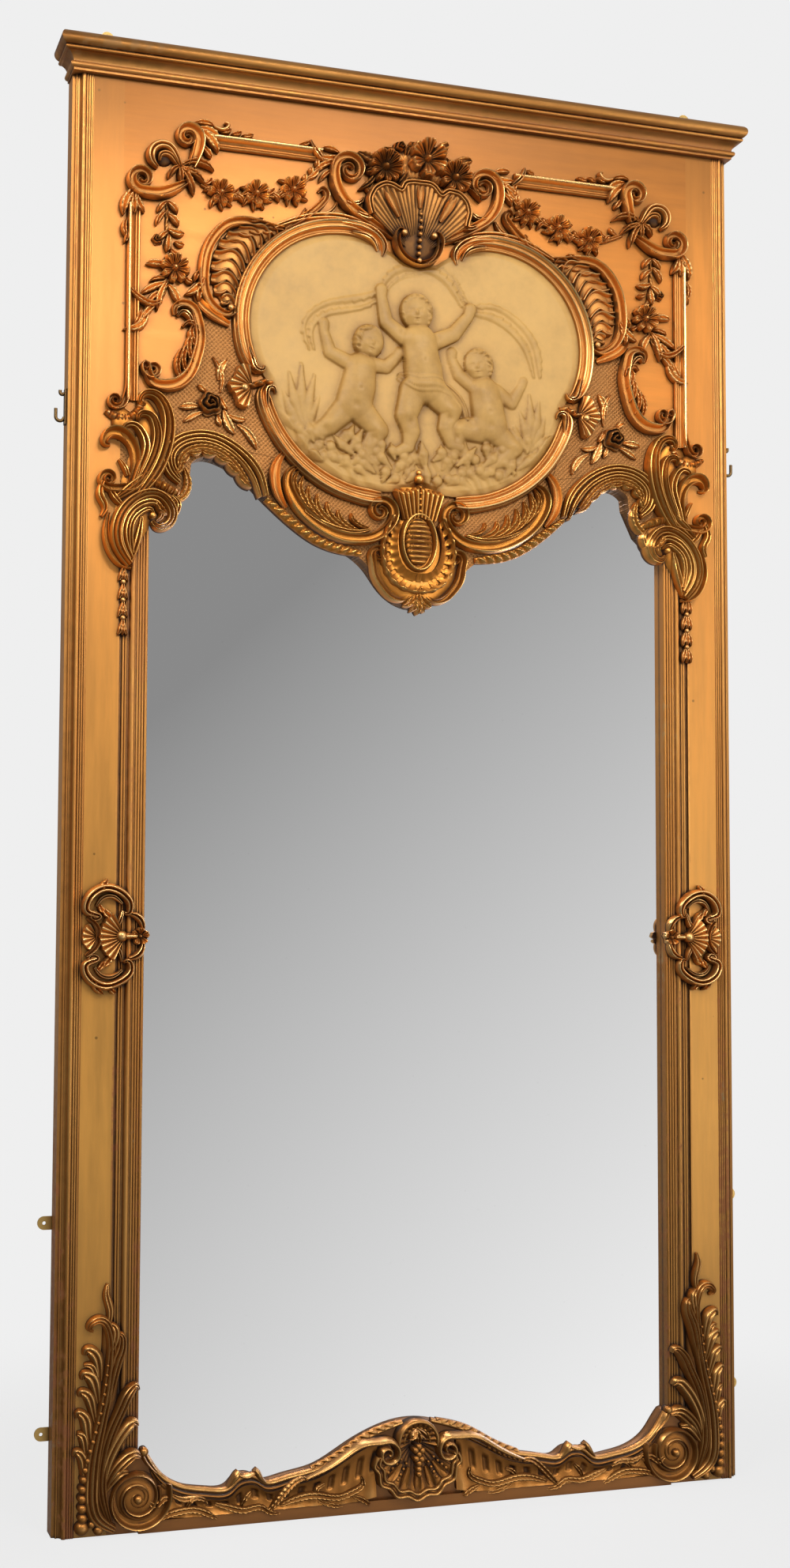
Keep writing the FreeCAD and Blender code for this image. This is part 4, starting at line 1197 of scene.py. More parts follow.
@dataclass
class CrestShell(Ornament):
    """The lobed shell over a crescent, with a string of beads."""

    hinge_height: float = 1864
    shell_relief: float = 26.0
    crescent_radius: float = 35.0

    stem = "crest_shell"
    nodes = ("crest_shell",)
    shift = -3.5
    single = True

    @staticmethod
    def rim(degrees: np.ndarray) -> np.ndarray:
        """Radius of the lobed rim at an angle."""
        lean = np.abs(degrees - 90.0)
        return np.interp(lean, [0, 8, 13, 18, 23, 30, 38, 46, 54], [118, 119, 116, 106, 119, 126, 125, 117, 96])

    def carve(self) -> None:
        """Draws the shell."""
        # A low tone paints the shell's bowl darker: painted shade under its rim over a brown patina.
        self.shell((0, self.hinge_height), (36, 144), self.rim, 25, self.shell_relief, 0.18, 0.42, 1.0, 0.25)
        edge = [ray(self.hinge_height, degrees, [(0.955 * self.rim(degrees), 11)])[0]
                for degrees in range(35, 146, 4)]
        self.band(edge, TWIN, 12, 15.0, tone=0.5)
        for lean, near, far, width in ((0, 74, 112, 12), (30, 66, 114, 14), (-30, 66, 114, 14)):
            rows = [(reach, width * wide, 0.5 + 0.8 * wide) for reach, wide in (
                (near, 0.4), (0.7 * near + 0.3 * far, 0.8), (0.3 * near + 0.7 * far, 1.0), (far, 0.55))]
            self.band(ray(self.hinge_height, 90 + lean, rows), COVE, 7, 17.0, tone=0.4)
        crescent = [(22, 1897, 4), (29, 1902, 8)] + arc((0, 1888), self.crescent_radius, (14, -194), [10.0] * 11)
        self.band(crescent + [(-29, 1902, 8), (-22, 1897, 4)], SCROLL, 24)
        # The hollow inside the crescent is gilded darker, as painted shade.
        self.bead(0, 1886, 33, 11, tone=-0.2)
        for x in (24, -24):
            self.bead(x, 1898, 5, 23)
        self.beads([(2, 1940, 5), (3, 1918, 6), (2, 1896, 7), (0, 1868, 7)], 8, 20.0, 0.25)
        self.bead(0, 1857, 4, 22)


@dataclass
class CrestFlowers(Ornament):
    """Three flowers and a bud in a bed of leaves."""

    bed_relief: float = 10.0
    leaf_relief: float = 17

    stem = "crest_flowers"
    nodes = ("crest_flowers",)
    single = True

    def carve(self) -> None:
        """Draws the flowers and leaves."""
        bed = [(-92, 2010, 10), (-60, 2002, 40), (-20, 2008, 52), (20, 2012, 52), (55, 2002, 42), (80, 2010, 10)]
        self.band(bed, LEAF, self.bed_relief, tone=0.2)
        self.leaves([
            (-60, 2010, -99, 2018, 17), (-58, 2000, -88, 1990, 13), (-34, 2022, -58, 2030, 14),
            (-20, 1998, -36, 1974, 13), (30, 2034, 48, 2046, 17), (52, 2012, 86, 2026, 17),
            (62, 2000, 84, 1994, 13), (50, 1985, 66, 1972, 13), (-6, 2032, -16, 2044, 11),
            (-70, 1990, -98, 1960, 10), (76, 1986, 100, 1964, 10), (34, 2016, 46, 2020, 12), (-22, 2020, -18, 2036, 12),
        ], self.leaf_relief, 0.3)
        self.flower((-56, 1999), 27, 11, 29, 0.2, 0.24, 0.74)
        self.flower((11, 2019), 31, 6, 33, 0.5, 0.2, 0.8)
        self.flower((57, 1996), 26, 9, 29, 0.1, 0.24, 0.74)
        self.rose((-33, 2033), 10, 26)


@dataclass
class Wing(Ornament):
    """A rocaille wing of stacked, waved ribs inside a scrolled band."""

    rib_count: int = 10
    scroll_relief: float = 18.0
    rib_relief: float = 13.0
    ground_relief: float = 7.5

    stem = "rocaille_wing"
    nodes = ("rocaille_wing",)

    def carve(self) -> None:
        """Draws the wing of one side."""
        self.band([(214, 1886, 7), (246, 1888, 12), (276, 1890, 15), (298, 1884, 16), (318, 1865, 17),
                   (331, 1840, 17), (336, 1811, 17), (335, 1782, 16), (326, 1762, 14), (309, 1749, 12),
                   (295, 1748, 10), (288, 1756, 8), (295, 1762, 4)], SCROLL, self.scroll_relief)
        self.bead(295, 1757, 5, 15)
        inside = [row[:2] for row in arc((120, 1742), 172.0, (6, 55), [0.0] * 7)]
        outside = [(302, 1762), (319, 1785), (323, 1812), (318, 1840), (303, 1866), (276, 1881), (236, 1883)]
        first, second = (curve(edge, 2 * self.rib_count + 1) for edge in (inside, outside))
        ground = [(*(near + far) / 2.0, float(np.hypot(*(far - near))), 1)
                  for near, far in zip(first[1:-1], second[1:-1])]
        self.band(ground, ROUND, self.ground_relief, tone=0.3)
        shape = ((0.03, -1.2, 9), (0.26, 0.3, 15), (0.52, 0.9, 18), (0.78, -0.2, 19), (1.02, -0.6, 15))
        for index in range(self.rib_count):
            near, far = first[2 * index + 1], second[2 * index + 1]
            way = far - near
            drop = np.array([-way[1], way[0]]) * 0.15
            path = [(*(near + share * way + swing * drop), width) for share, swing, width in shape]
            self.band(path, SCROLL, self.rib_relief + index % 3, tone=0.8, flip=bool(index % 2))
        self.leaves([
            (335, 1800, 364, 1770, 14, -0.12), (335, 1790, 343, 1762, 12), (339, 1810, 350, 1790, 9),
            (270, 1893, 246, 1898, 8),
        ], 14)


@dataclass
class Border(Ornament):
    """The reeded bars of the border and the C-scrolls with their sprig at its corner."""

    bar_relief: float = 14.0
    scroll_relief: float = 20.0
    sprig_relief: float = 17
    leaf_relief: float = 15

    stem = "border"
    nodes = ("top_bar", "side_bar", "corner_scrolls")

    def carve(self) -> None:
        """Draws the border of one side."""
        self.bands([
            ([(326, 2006, 21, 1), (240, 2006.2, 21, 1), (156, 2006, 21, 1)], BAR, self.bar_relief),
            ([(440, 1897, 20, 1), (440.2, 1760, 20, 1), (440, 1606, 20, 1)], BAR, self.bar_relief),
            ([(447, 1645, 5), (447, 1620, 9), (451, 1604, 11)] + spiral((464, 1604), (12, 3), 200, 1.2, (11, 4)),
             SCROLL, 18),
            ([(478, 1588, 8), (463, 1581, 14), (446, 1580, 14), (432, 1590, 13), (424, 1612, 8)], RIBBED, 14),
            ([(356, 1962, 12), (349, 1982, 18), (345, 2000, 19)] + spiral((362, 2007), (17.5, 4), 184, -1.35, (18, 6)),
             SCROLL, self.scroll_relief),
            ([(362, 1939, 8), (382, 1926, 16), (404, 1917, 18)] + spiral((429, 1936), (20, 4), -104, 1.4, (17, 6)),
             SCROLL, self.scroll_relief),
        ])
        self.band([(406, 1956, 6), (415, 1964, 12), (416, 1978, 15), (405, 1989, 15), (390, 1988, 14),
                   (380, 1977, 12), (372, 1962, 6)], FROND, 19, tone=0.7)
        self.band([(404, 1966, 5), (402, 1975, 10), (391, 1977, 11), (382, 1970, 9), (374, 1960, 5)], FROND, 15,
                  tone=0.5)
        self.bead(397, 1974, 14, 8, tone=-0.4)
        self.leaves([
            (373, 1962, 390, 1941, 10, 0.12), (373, 1962, 371, 1936, 10, 0.0), (373, 1962, 352, 1920, 12, -0.08),
            (373, 1962, 344, 1954, 10), (373, 1962, 322, 1960, 11, -0.2), (373, 1962, 336, 1939, 9, -0.08),
        ], self.sprig_relief, 0.75)
        self.leaves([
            (343, 2020, 316, 1989, 16, -0.1), (345, 2024, 314, 2008, 14, -0.12), (352, 2030, 322, 2027, 9, -0.12),
            (338, 1996, 326, 1980, 11, 0.0), (438, 1922, 456, 1879, 15, 0.12), (438, 1914, 425, 1886, 13),
            (440, 1916, 441, 1882, 13, 0.0), (450, 1876, 451, 1846, 9, 0.15), (451, 1856, 454, 1838, 7, -0.1),
            (312, 2021, 296, 2027, 8), (296, 2020, 280, 2025, 8), (280, 2020, 262, 2023, 8), (190, 2019, 174, 2023, 8),
        ], self.leaf_relief)
        self.band([(322, 2027, 6), (312, 2024, 7), (304, 2027, 7), (301, 2034, 6), (306, 2036, 4)], ROUND, 14,
                  tone=0.8)
        self.band([(174, 2027, 4), (170, 2016, 8), (162, 2005, 10), (152, 1996, 4)], REEDS, 18)


@dataclass
class Garlands(Ornament):
    """The hanging swag and the drop beside it, of flowers, buds and leaves."""

    swag_radius: float = 20.0
    drop_radius: float = 22
    flower_relief: float = 22
    leaf_relief: float = 13

    stem = "garlands"
    nodes = ("swag", "drop_garland")
    flowers: ClassVar[dict[Side, list[Row]]] = {
        Side.LEFT: [(311, 1929), (257, 1934), (200, 1947)],
        Side.RIGHT: [(282, 1925), (229, 1938), (177, 1957)],
    }

    def carve(self) -> None:
        """Draws the garlands of one side."""
        self.swag()
        self.drop()

    def swag(self) -> None:
        """Draws the swag with its three flowers."""
        places = self.flowers[self.side]
        last_x, last_z = places[-1]
        stem = [(340, 1940, 6)] + [(x, z - 2, 9) for x, z in places] + [(last_x - 22, last_z + 20, 6), (150, 1992, 4)]
        self.band(stem, LEAF, 9, tone=0.7)
        for number, (x, z) in enumerate(places):
            for turn, length, width in ((-58, 28, 10), (-98, 26, 9), (2, 27, 8), (184, 27, 8), (226, 25, 8)):
                angle = math.radians(turn + 13 * number)
                tip = (x + length * math.cos(angle), z + length * math.sin(angle))
                self.leaf((x, z), tip, width, 12, 0.1, tone=0.85)
            petals = (7, 6, 7)[number]
            self.flower((x, z), self.swag_radius, petals, self.flower_relief, 0.4 * number, 0.3, 1.25, 0.45)
        for (x, z), (end_x, end_z) in zip([(347, 1945)] + places, places):
            for share, turn in ((0.25, 1.0), (0.4, -1.0), (0.55, 1.0), (0.7, -1.0)):
                here = (x + share * (end_x - x), z + share * (end_z - z) - 2)
                self.leaf(here, (here[0] - 13, here[1] + 11 * turn), 8, 13, 0.15 * turn)
        for share, turn in ((0.1, 1.0), (0.3, -1.0), (0.5, 1.0), (0.7, -1.0), (0.9, 1.0)):
            x = last_x - 14 - (last_x - 170) * share * 0.8
            z = last_z + 12 + (1992 - last_z - 14) * share
            self.leaf((x, z), (x - 9 + 9 * turn, z + 15 - 4 * turn), 10, 11, 0.15)

    def drop(self) -> None:
        """Draws the drop with its flower and bud."""
        self.band([(391, 1906, 4), (391, 1880, 6), (389, 1850, 6), (380, 1815, 6), (389, 1785, 6), (404, 1755, 5),
                   (424, 1748, 3)], ROPE, 6, tone=0.6)
        self.leaves([
            (391, 1907, 405, 1889, 11), (391, 1907, 376, 1890, 13, -0.1), (392, 1893, 407, 1869, 11),
            (390, 1888, 374, 1871, 13, -0.1), (389, 1866, 365, 1861, 15), (389, 1862, 404, 1846, 12),
            (388, 1858, 391, 1831, 14, 0.0), (380, 1848, 365, 1844, 11), (386, 1836, 374, 1828, 10),
            (392, 1810, 422, 1810, 14), (393, 1792, 416, 1785, 9), (364, 1796, 352, 1788, 10),
            (391, 1786, 430, 1764, 14, 0.05), (390, 1788, 404, 1742, 14, 0.08), (388, 1783, 373, 1755, 16, -0.08),
            (404, 1754, 430, 1725, 13, 0.05), (396, 1772, 420, 1750, 12), (420, 1748, 454, 1710, 17, -0.25),
            (428, 1744, 440, 1716, 11, -0.1),
        ], self.leaf_relief, scale=0.84)
        self.band([(398, 1757, 5), (414, 1751, 10), (430, 1757, 10), (447, 1772, 5)], LEAF, 18)
        self.rose((405, 1849), 9, 13)
        self.flower((379, 1808), self.drop_radius, 8, self.flower_relief, 0.2, 0.28, 1.25, 0.4)


@dataclass
class Spandrel(Ornament):
    """The acanthus C-scroll, the rose with its leaves and the little shell at the cusp of the frame."""

    scroll_relief: float = 19.0
    acanthus_relief: float = 17.0
    rose_radius: float = 20
    leaf_relief: float = 9

    stem = "spandrel"
    nodes = ("spandrel_scroll", "rose_spray")

    def carve(self) -> None:
        """Draws the spandrel of one side."""
        body = spiral((410, 1655), (12, 4), 20, -1.15, (15, 5))[::-1]
        body += [(414, 1641, 15), (397, 1632, 18), (375, 1636, 20), (357, 1652, 20), (346, 1680, 19), (341, 1710, 18),
                 (345, 1734, 17), (351, 1750, 15), (365, 1756, 13), (378, 1749, 10), (378, 1739, 6)]
        self.bands([
            (body, SCROLL, self.scroll_relief),
            ([(352, 1722, 5), (358, 1738, 9), (368, 1743, 8), (374, 1737, 4)], REEDS, self.acanthus_relief),
        ])
        for path in (
            [(368, 1644, 5), (374, 1660, 9), (372, 1678, 9), (367, 1690, 4)],
            [(360, 1652, 6), (366, 1672, 10), (362, 1690, 9), (356, 1700, 4)],
            [(352, 1670, 7), (358, 1690, 11), (356, 1704, 9), (350, 1712, 4)],
            [(347, 1692, 6), (354, 1710, 11), (353, 1720, 8), (348, 1726, 4)],
            [(344, 1712, 5), (350, 1726, 8), (360, 1728, 7), (366, 1722, 4)],
        ):
            self.band(path, LEAF, self.acanthus_relief)
        self.rose((324, 1611), self.rose_radius, 23)
        self.leaves([
            (340, 1606, 370, 1602, 13, 0.06), (334, 1598, 363, 1581, 11, 0.06), (308, 1630, 321, 1682, 9, 0.14),
            (311, 1648, 298, 1680, 14, -0.1), (307, 1622, 297, 1604, 9), (303, 1604, 286, 1569, 16, 0.06),
            (296, 1598, 269, 1592, 11), (282, 1584, 253, 1549, 14, -0.12), (330, 1628, 343, 1637, 10),
            (312, 1596, 306, 1580, 10),
        ], self.leaf_relief)
        self.shell((262, 1641), (-78, 80), lambda degrees: 35.0 + 3.0 * np.cos(np.radians(6.0 * degrees)), 9, 17.0,
                   0.12, 0.0, 1.2)
        self.bead(274, 1638, 6, 19)
        self.bead(274, 1638, 10, 16)
        self.band([(276, 1640, 8), (258, 1645, 9), (242, 1650, 11), (230, 1650, 6)], ROPE, 19)


@dataclass
class Ear(Ornament):
    """The acanthus ear at the corner of the sight opening, ending in a fluted scroll."""

    bed_relief: float = 9.0
    crook_relief: float = 11.0
    leaf_sink: float = 4.0

    stem = "ear"
    nodes = ("ear",)
    sink: float = 16.0
    gilt = Finish.SIGHT_GILT

    def carve(self) -> None:
        """Draws the ear of one side."""
        self.band([(424, 1606, 20), (414, 1570, 44), (414, 1530, 52), (424, 1490, 56), (432, 1450, 56),
                   (446, 1405, 44), (446, 1376, 18)], ROUND, self.bed_relief, tone=0.25)
        self.band([(446, 1474, 20), (400, 1470, 34), (382, 1452, 28), (398, 1430, 14)], ROUND, self.crook_relief,
                  tone=0.25)
        self.sink = self.leaf_sink
        self.band([(462, 1594, 16), (452, 1574, 36), (446, 1548, 28)], ROUND, self.crook_relief, tone=0.2)
        self.bands([
            ([(432, 1464, 10), (406, 1500, 20), (392, 1534, 22), (387, 1572, 22), (394, 1602, 18), (411, 1617, 14),
              (427, 1612, 10), (428, 1603, 7), (420, 1602, 4)], REEDS, 28),
            ([(436, 1474, 8), (417, 1508, 15), (405, 1544, 17), (407, 1572, 15), (418, 1586, 12), (430, 1584, 9),
              (431, 1576, 5)], REEDS, 28),
            ([(440, 1474, 8), (428, 1508, 14), (420, 1538, 16), (427, 1559, 14), (441, 1569, 11), (452, 1563, 8),
              (450, 1556, 4)], REEDS, 26),
            ([(444, 1472, 9), (435, 1505, 14), (437, 1534, 16), (450, 1552, 18), (465, 1557, 18), (478, 1549, 14),
              (479, 1539, 9), (471, 1538, 4)], SCROLL, 25),
            ([(428, 1480, 12), (446, 1476, 14), (464, 1474, 13)] + spiral((473, 1488), (12.5, 3), -70, 1.3, (12, 5)),
             SCROLL, 23),
            ([(481, 1484, 7), (484, 1462, 13), (477, 1446, 11), (482, 1433, 6)], REEDS, 18),
            ([(445, 1494, 8), (451, 1508, 8), (458, 1518, 4)], REEDS, 17),
            ([(442, 1364, 13), (459, 1389, 18), (462, 1417, 19), (452, 1443, 18), (430, 1464, 16), (405, 1470, 15),
              (386, 1457, 16), (380, 1438, 16), (389, 1424, 13), (402, 1422, 10), (409, 1430, 6)], REEDS, 29),
            ([(440, 1374, 10), (450, 1397, 13), (450, 1422, 13), (440, 1442, 12), (422, 1455, 12), (407, 1457, 11),
              (397, 1448, 10), (396, 1437, 8), (403, 1431, 4)], REEDS, 26),
            ([(438, 1381, 8), (441, 1407, 10), (436, 1431, 10), (424, 1443, 9), (412, 1447, 7), (406, 1441, 4)],
             REEDS, 22),
            ([(472, 1440, 5), (476, 1410, 10), (467, 1380, 12), (450, 1364, 10), (438, 1361, 5)], SCROLL, 20),
            ([(424, 1490, 8), (404, 1486, 14), (386, 1480, 14), (368, 1472, 9)], RIBBED, 23),
            ([(462, 1460, 8), (434, 1482, 17), (408, 1505, 6)], REEDS, 25),
            ([(452, 1450, 6), (463, 1461, 11), (472, 1474, 7)], REEDS, 18),
            ([(380, 1470, 4), (371, 1458, 9), (374, 1444, 8), (380, 1436, 4)], REEDS, 20),
            ([(424, 1436, 6), (428, 1412, 12), (434, 1388, 12), (441, 1366, 5)], REEDS, 19),
        ])
        self.bead(410, 1437, 4.5, 24)
        self.leaf((404, 1462), (388, 1440), 11, 29, 0.15)


@dataclass
class Apron(Ornament):
    """The reeded arch, the acanthus scroll and the leaf rope along the lower edge of the head."""

    scroll_relief: float = 22.0
    acanthus_relief: float = 17.0
    rope_relief: float = 15.0
    leaf_sink: float = 5.0

    stem = "apron_scroll"
    nodes = ("apron_scroll",)
    sink: float = 16.0
    gilt = Finish.SIGHT_GILT

    def carve(self) -> None:
        """Draws the apron of one side."""
        self.bands([
            ([(369, 1490, 8), (386, 1506, 12), (390, 1529, 13), (380, 1549, 13), (358, 1562, 12), (328, 1566, 12),
              (299, 1558, 12), (271, 1540, 12), (249, 1514, 12), (238, 1480, 8)], REEDS, 17),
            ([(368, 1498, 6), (378, 1513, 10), (379, 1530, 11), (369, 1544, 11), (351, 1553, 11), (327, 1555, 11),
              (302, 1547, 11), (278, 1530, 10), (259, 1506, 9), (247, 1478, 5)], REEDS, 15),
            ([(366, 1506, 6), (370, 1520, 9), (363, 1534, 10), (348, 1543, 10), (326, 1545, 10), (305, 1538, 10),
              (286, 1523, 10), (266, 1497, 6)], LEAF, 16),
        ])
        self.leaves([
            (375, 1502, 366, 1519, 10), (371, 1519, 355, 1534, 10), (357, 1535, 336, 1540, 10),
            (339, 1541, 313, 1536, 10), (318, 1538, 293, 1525, 10), (300, 1529, 277, 1508, 10),
            (284, 1515, 261, 1490, 10),
        ], 18)
        body = [(189, 1528, 4), (201, 1521, 10), (207, 1505, 15), (201, 1484, 18), (184, 1460, 19), (158, 1440, 19),
                (128, 1427, 19), (97, 1424, 18), (69, 1430, 17), (50, 1445, 16)]
        self.bands([
            (body + spiral((61, 1470), (22, 4), 205, -1.35, (15, 5)), SCROLL, self.scroll_relief),
            ([(180, 1462, 4), (154, 1446, 8), (126, 1437, 9), (98, 1435, 8), (76, 1441, 4)], REEDS, 18),
        ])
        for path in (
            [(80, 1442, 4), (96, 1446, 7), (106, 1455, 6), (107, 1463, 3)],
            [(96, 1438, 4), (113, 1443, 10), (125, 1453, 10), (127, 1467, 3)],
            [(112, 1440, 4), (131, 1448, 11), (143, 1461, 11), (144, 1478, 3)],
            [(130, 1443, 5), (149, 1454, 12), (160, 1470, 11), (159, 1489, 3)],
            [(148, 1450, 5), (166, 1464, 12), (175, 1482, 11), (172, 1501, 3)],
            [(164, 1460, 5), (181, 1478, 12), (187, 1496, 10), (181, 1514, 3)],
            [(178, 1472, 5), (193, 1490, 10), (196, 1506, 8), (189, 1521, 3)],
        ):
            self.band(path, LEAF, self.acanthus_relief)
        self.band([(238, 1476, 8), (216, 1459, 13), (188, 1438, 15), (156, 1419, 15), (122, 1409, 15), (91, 1404, 9)],
                  ROPE, self.rope_relief)
        self.sink = self.leaf_sink
        self.band([(362, 1512, 5), (357, 1497, 11), (358, 1480, 13), (368, 1467, 12), (380, 1462, 6)], LEAF,
                  self.acanthus_relief)


@dataclass
class Cartouche(Ornament):
    """The tablet below the plaque: a fluted neck, a ribbed oval boss and a ruffled shell between scrolls."""

    bed_relief: float = 13.0
    boss_height: float = 1424
    boss_size: Row = (21.0, 36.0)
    boss_relief: Row = (17.0, 11.0)
    boss_ribs: float = 9.4
    upper_sink: float = 4.0

    stem = "apron_cartouche"
    nodes = ("apron_cartouche",)
    single = True
    shift = -3.0
    sink: float = 16.0
    gilt = Finish.SIGHT_GILT

    @staticmethod
    def neck(degrees: np.ndarray) -> np.ndarray:
        """Radius of the fluted neck's rim at an angle."""
        return 139.0 - 6.0 * np.abs(np.sin(np.radians(9.0 * (degrees - 90.0))))

    def ribs(self, share: np.ndarray, angle: np.ndarray) -> np.ndarray:
        """1 on the boss's ribs and -1 between them."""
        return np.cos(self.boss_ribs * math.pi * (share * np.sin(angle)))

    def swell(self, share: np.ndarray, angle: np.ndarray) -> np.ndarray:
        """Relief of the ribbed boss."""
        low, high = self.boss_relief
        return (low + high * np.sqrt(1.0 - 0.96 * share**2)) * (0.9 + 0.1 * self.ribs(share, angle))

    def carve(self) -> None:
        """Draws the tablet."""
        self.band([(0, 1508, 60, 1), (0, 1480, 54, 1), (0, 1450, 66, 1), (0, 1412, 124, 1), (0, 1378, 126, 1),
                   (0, 1346, 84, 1), (0, 1328, 34, 1)], ROUND, self.bed_relief, tone=0.7)
        self.sink = self.upper_sink
        self.shell((0, 1376), (73, 107), self.neck, 9, 25.0, 0.62, 0.12, 1.2)
        self.bead(0, 1520, 7, 24)
        self.bead(0, 1530, 4, 20)
        self.beads([(0, 1506, 4), (0, 1470, 5)], 5, 27.0, 0.5)
        self.dome((0, self.boss_height), lambda angle: 1.0 + 0.0 * angle, self.swell, (72, 44), self.boss_size,
                  lambda share, angle: 0.45 + 0.4 * self.ribs(share, angle))
        ring = [(26.5 * math.cos(turn), self.boss_height + 42.0 * math.sin(turn), 8.0, 1.0)
                for turn in np.linspace(0.0, 2.0 * math.pi, 33)]
        self.band(ring, ROUND, 25)
        inside = [(30, 1448), (34, 1434), (35, 1415), (31, 1396), (21, 1382), (6, 1376), (-4, 1376)]
        outside = [(40, 1462), (50, 1440), (57, 1415), (54, 1388), (42, 1365), (19, 1351), (-4, 1348)]
        scroll = [(14, 1344, 4), (24, 1337, 8), (40, 1339, 11), (55, 1352, 12), (67, 1371, 12), (71, 1391, 11)]
        scroll += spiral((61, 1403), (13, 3), -30, 1.2, (11, 4))
        for sign in (1, -1):
            edge = mirrored(outside, sign)
            self.slotted(mirrored(inside, sign), edge, 9, 22.0, (0.42, 0.86))
            ruffle = [(x, z, 5.0 + 2.0 * (index % 4 < 2)) for index, (x, z) in enumerate(curve(edge, 36))]
            self.band(ruffle, ROUND, 24, tone=0.9)
            self.band(mirrored(scroll, sign), SCROLL, 23)
            self.leaf((sign * 3, 1346), (sign * 22, 1327), 14, 21, -0.1 * sign)
            self.leaf((sign * 2, 1340), (sign * 11, 1319), 10, 22, -0.1 * sign)
        self.leaf((0, 1350), (0, 1315), 15, 24)


@dataclass
class Husks(Ornament):
    """Chains of husks on the stiles below the ears."""

    husk_count: int = 4
    chain_x: float = 449
    top_height: float = 1366
    husk_pitch: float = 26
    husk_relief: float = 9

    stem = "husk_drops"
    nodes = ("husk_drops",)
    single = True

    def carve(self) -> None:
        """Draws both chains."""
        for sign in (1, -1):
            for index in range(self.husk_count):
                top = self.top_height - self.husk_pitch * index
                for swing, width, more in ((-7, 8, 0), (7, 8, 0), (0, 9, 2)):
                    tip = (sign * (self.chain_x + swing), top - self.husk_pitch + 1)
                    self.leaf((sign * self.chain_x, top), tip, width, self.husk_relief + more, 0.01 * swing, tone=0.8)
                self.bead(sign * self.chain_x, top, 4, self.husk_relief, tone=0.7)


@dataclass
class Clasp(Ornament):
    """The open-work clasp halfway up the stile: two leafy scrolls, a shell and a flower."""

    scroll_relief: float = 20.0
    leaf_relief: float = 14
    flower_radius: float = 13

    stem = "clasp"
    nodes = ("clasp",)

    def carve(self) -> None:
        """Draws the clasp of one side."""
        upper = spiral((484, 862), (7, 2.5), -150, 1.0, (9, 4))[::-1]
        upper += [(494, 866, 12), (496, 878, 14), (487, 892, 15), (471, 900, 14), (453, 897, 14), (439, 887, 13),
                  (433, 874, 11), (437, 864, 8), (443, 866, 4)]
        lower = spiral((486, 798), (7, 2.5), 150, -1.0, (9, 4))[::-1]
        lower += [(495, 793, 12), (496, 781, 14), (485, 768, 15), (468, 762, 14), (451, 766, 13), (437, 775, 13),
                  (431, 787, 11), (436, 797, 8), (442, 795, 4)]
        self.bands([
            (upper, REEDS, self.scroll_relief),
            (lower, REEDS, self.scroll_relief),
            ([(482, 874, 4), (473, 886, 7), (458, 888, 7), (445, 878, 4)], REEDS, 14),
            ([(483, 788, 4), (474, 777, 7), (458, 775, 7), (444, 784, 4)], REEDS, 14),
            ([(434, 864, 6), (423, 860, 11), (415, 848, 9), (414, 840, 5)], REEDS, 16),
            ([(434, 800, 6), (423, 804, 11), (415, 816, 9), (414, 824, 5)], REEDS, 16),
            ([(494, 858, 5), (484, 849, 9), (478, 831, 10), (484, 815, 9), (496, 804, 5)], SCROLL, 17),
            ([(450, 832, 7), (438, 832, 9), (424, 832, 8)], ROUND, 15),
            ([(444, 868, 4), (449, 852, 8), (456, 842, 6)], REEDS, 14),
            ([(444, 796, 4), (449, 812, 8), (456, 822, 6)], REEDS, 14),
        ])
        self.shell((442, 831), (-66, 66), lambda degrees: 38.0 + 0.0 * degrees, 9, 16.0, 0.14, 0.0, 1.4)
        self.shell((480, 831), (-58, 58), lambda degrees: 23.0 + 0.0 * degrees, 5, 12.0, 0.16, 0.0, 1.2)
        self.bead(446, 832, 8, 19)
        self.flower((418, 832), self.flower_radius, 5, 16, 0.3, 0.22)
        self.leaves([
            (483, 896, 466, 913, 11), (487, 774, 470, 750, 11), (472, 872, 458, 858, 13), (472, 790, 460, 804, 13),
            (478, 878, 468, 864, 10), (480, 784, 470, 798, 10), (462, 760, 452, 752, 9),
        ], self.leaf_relief)


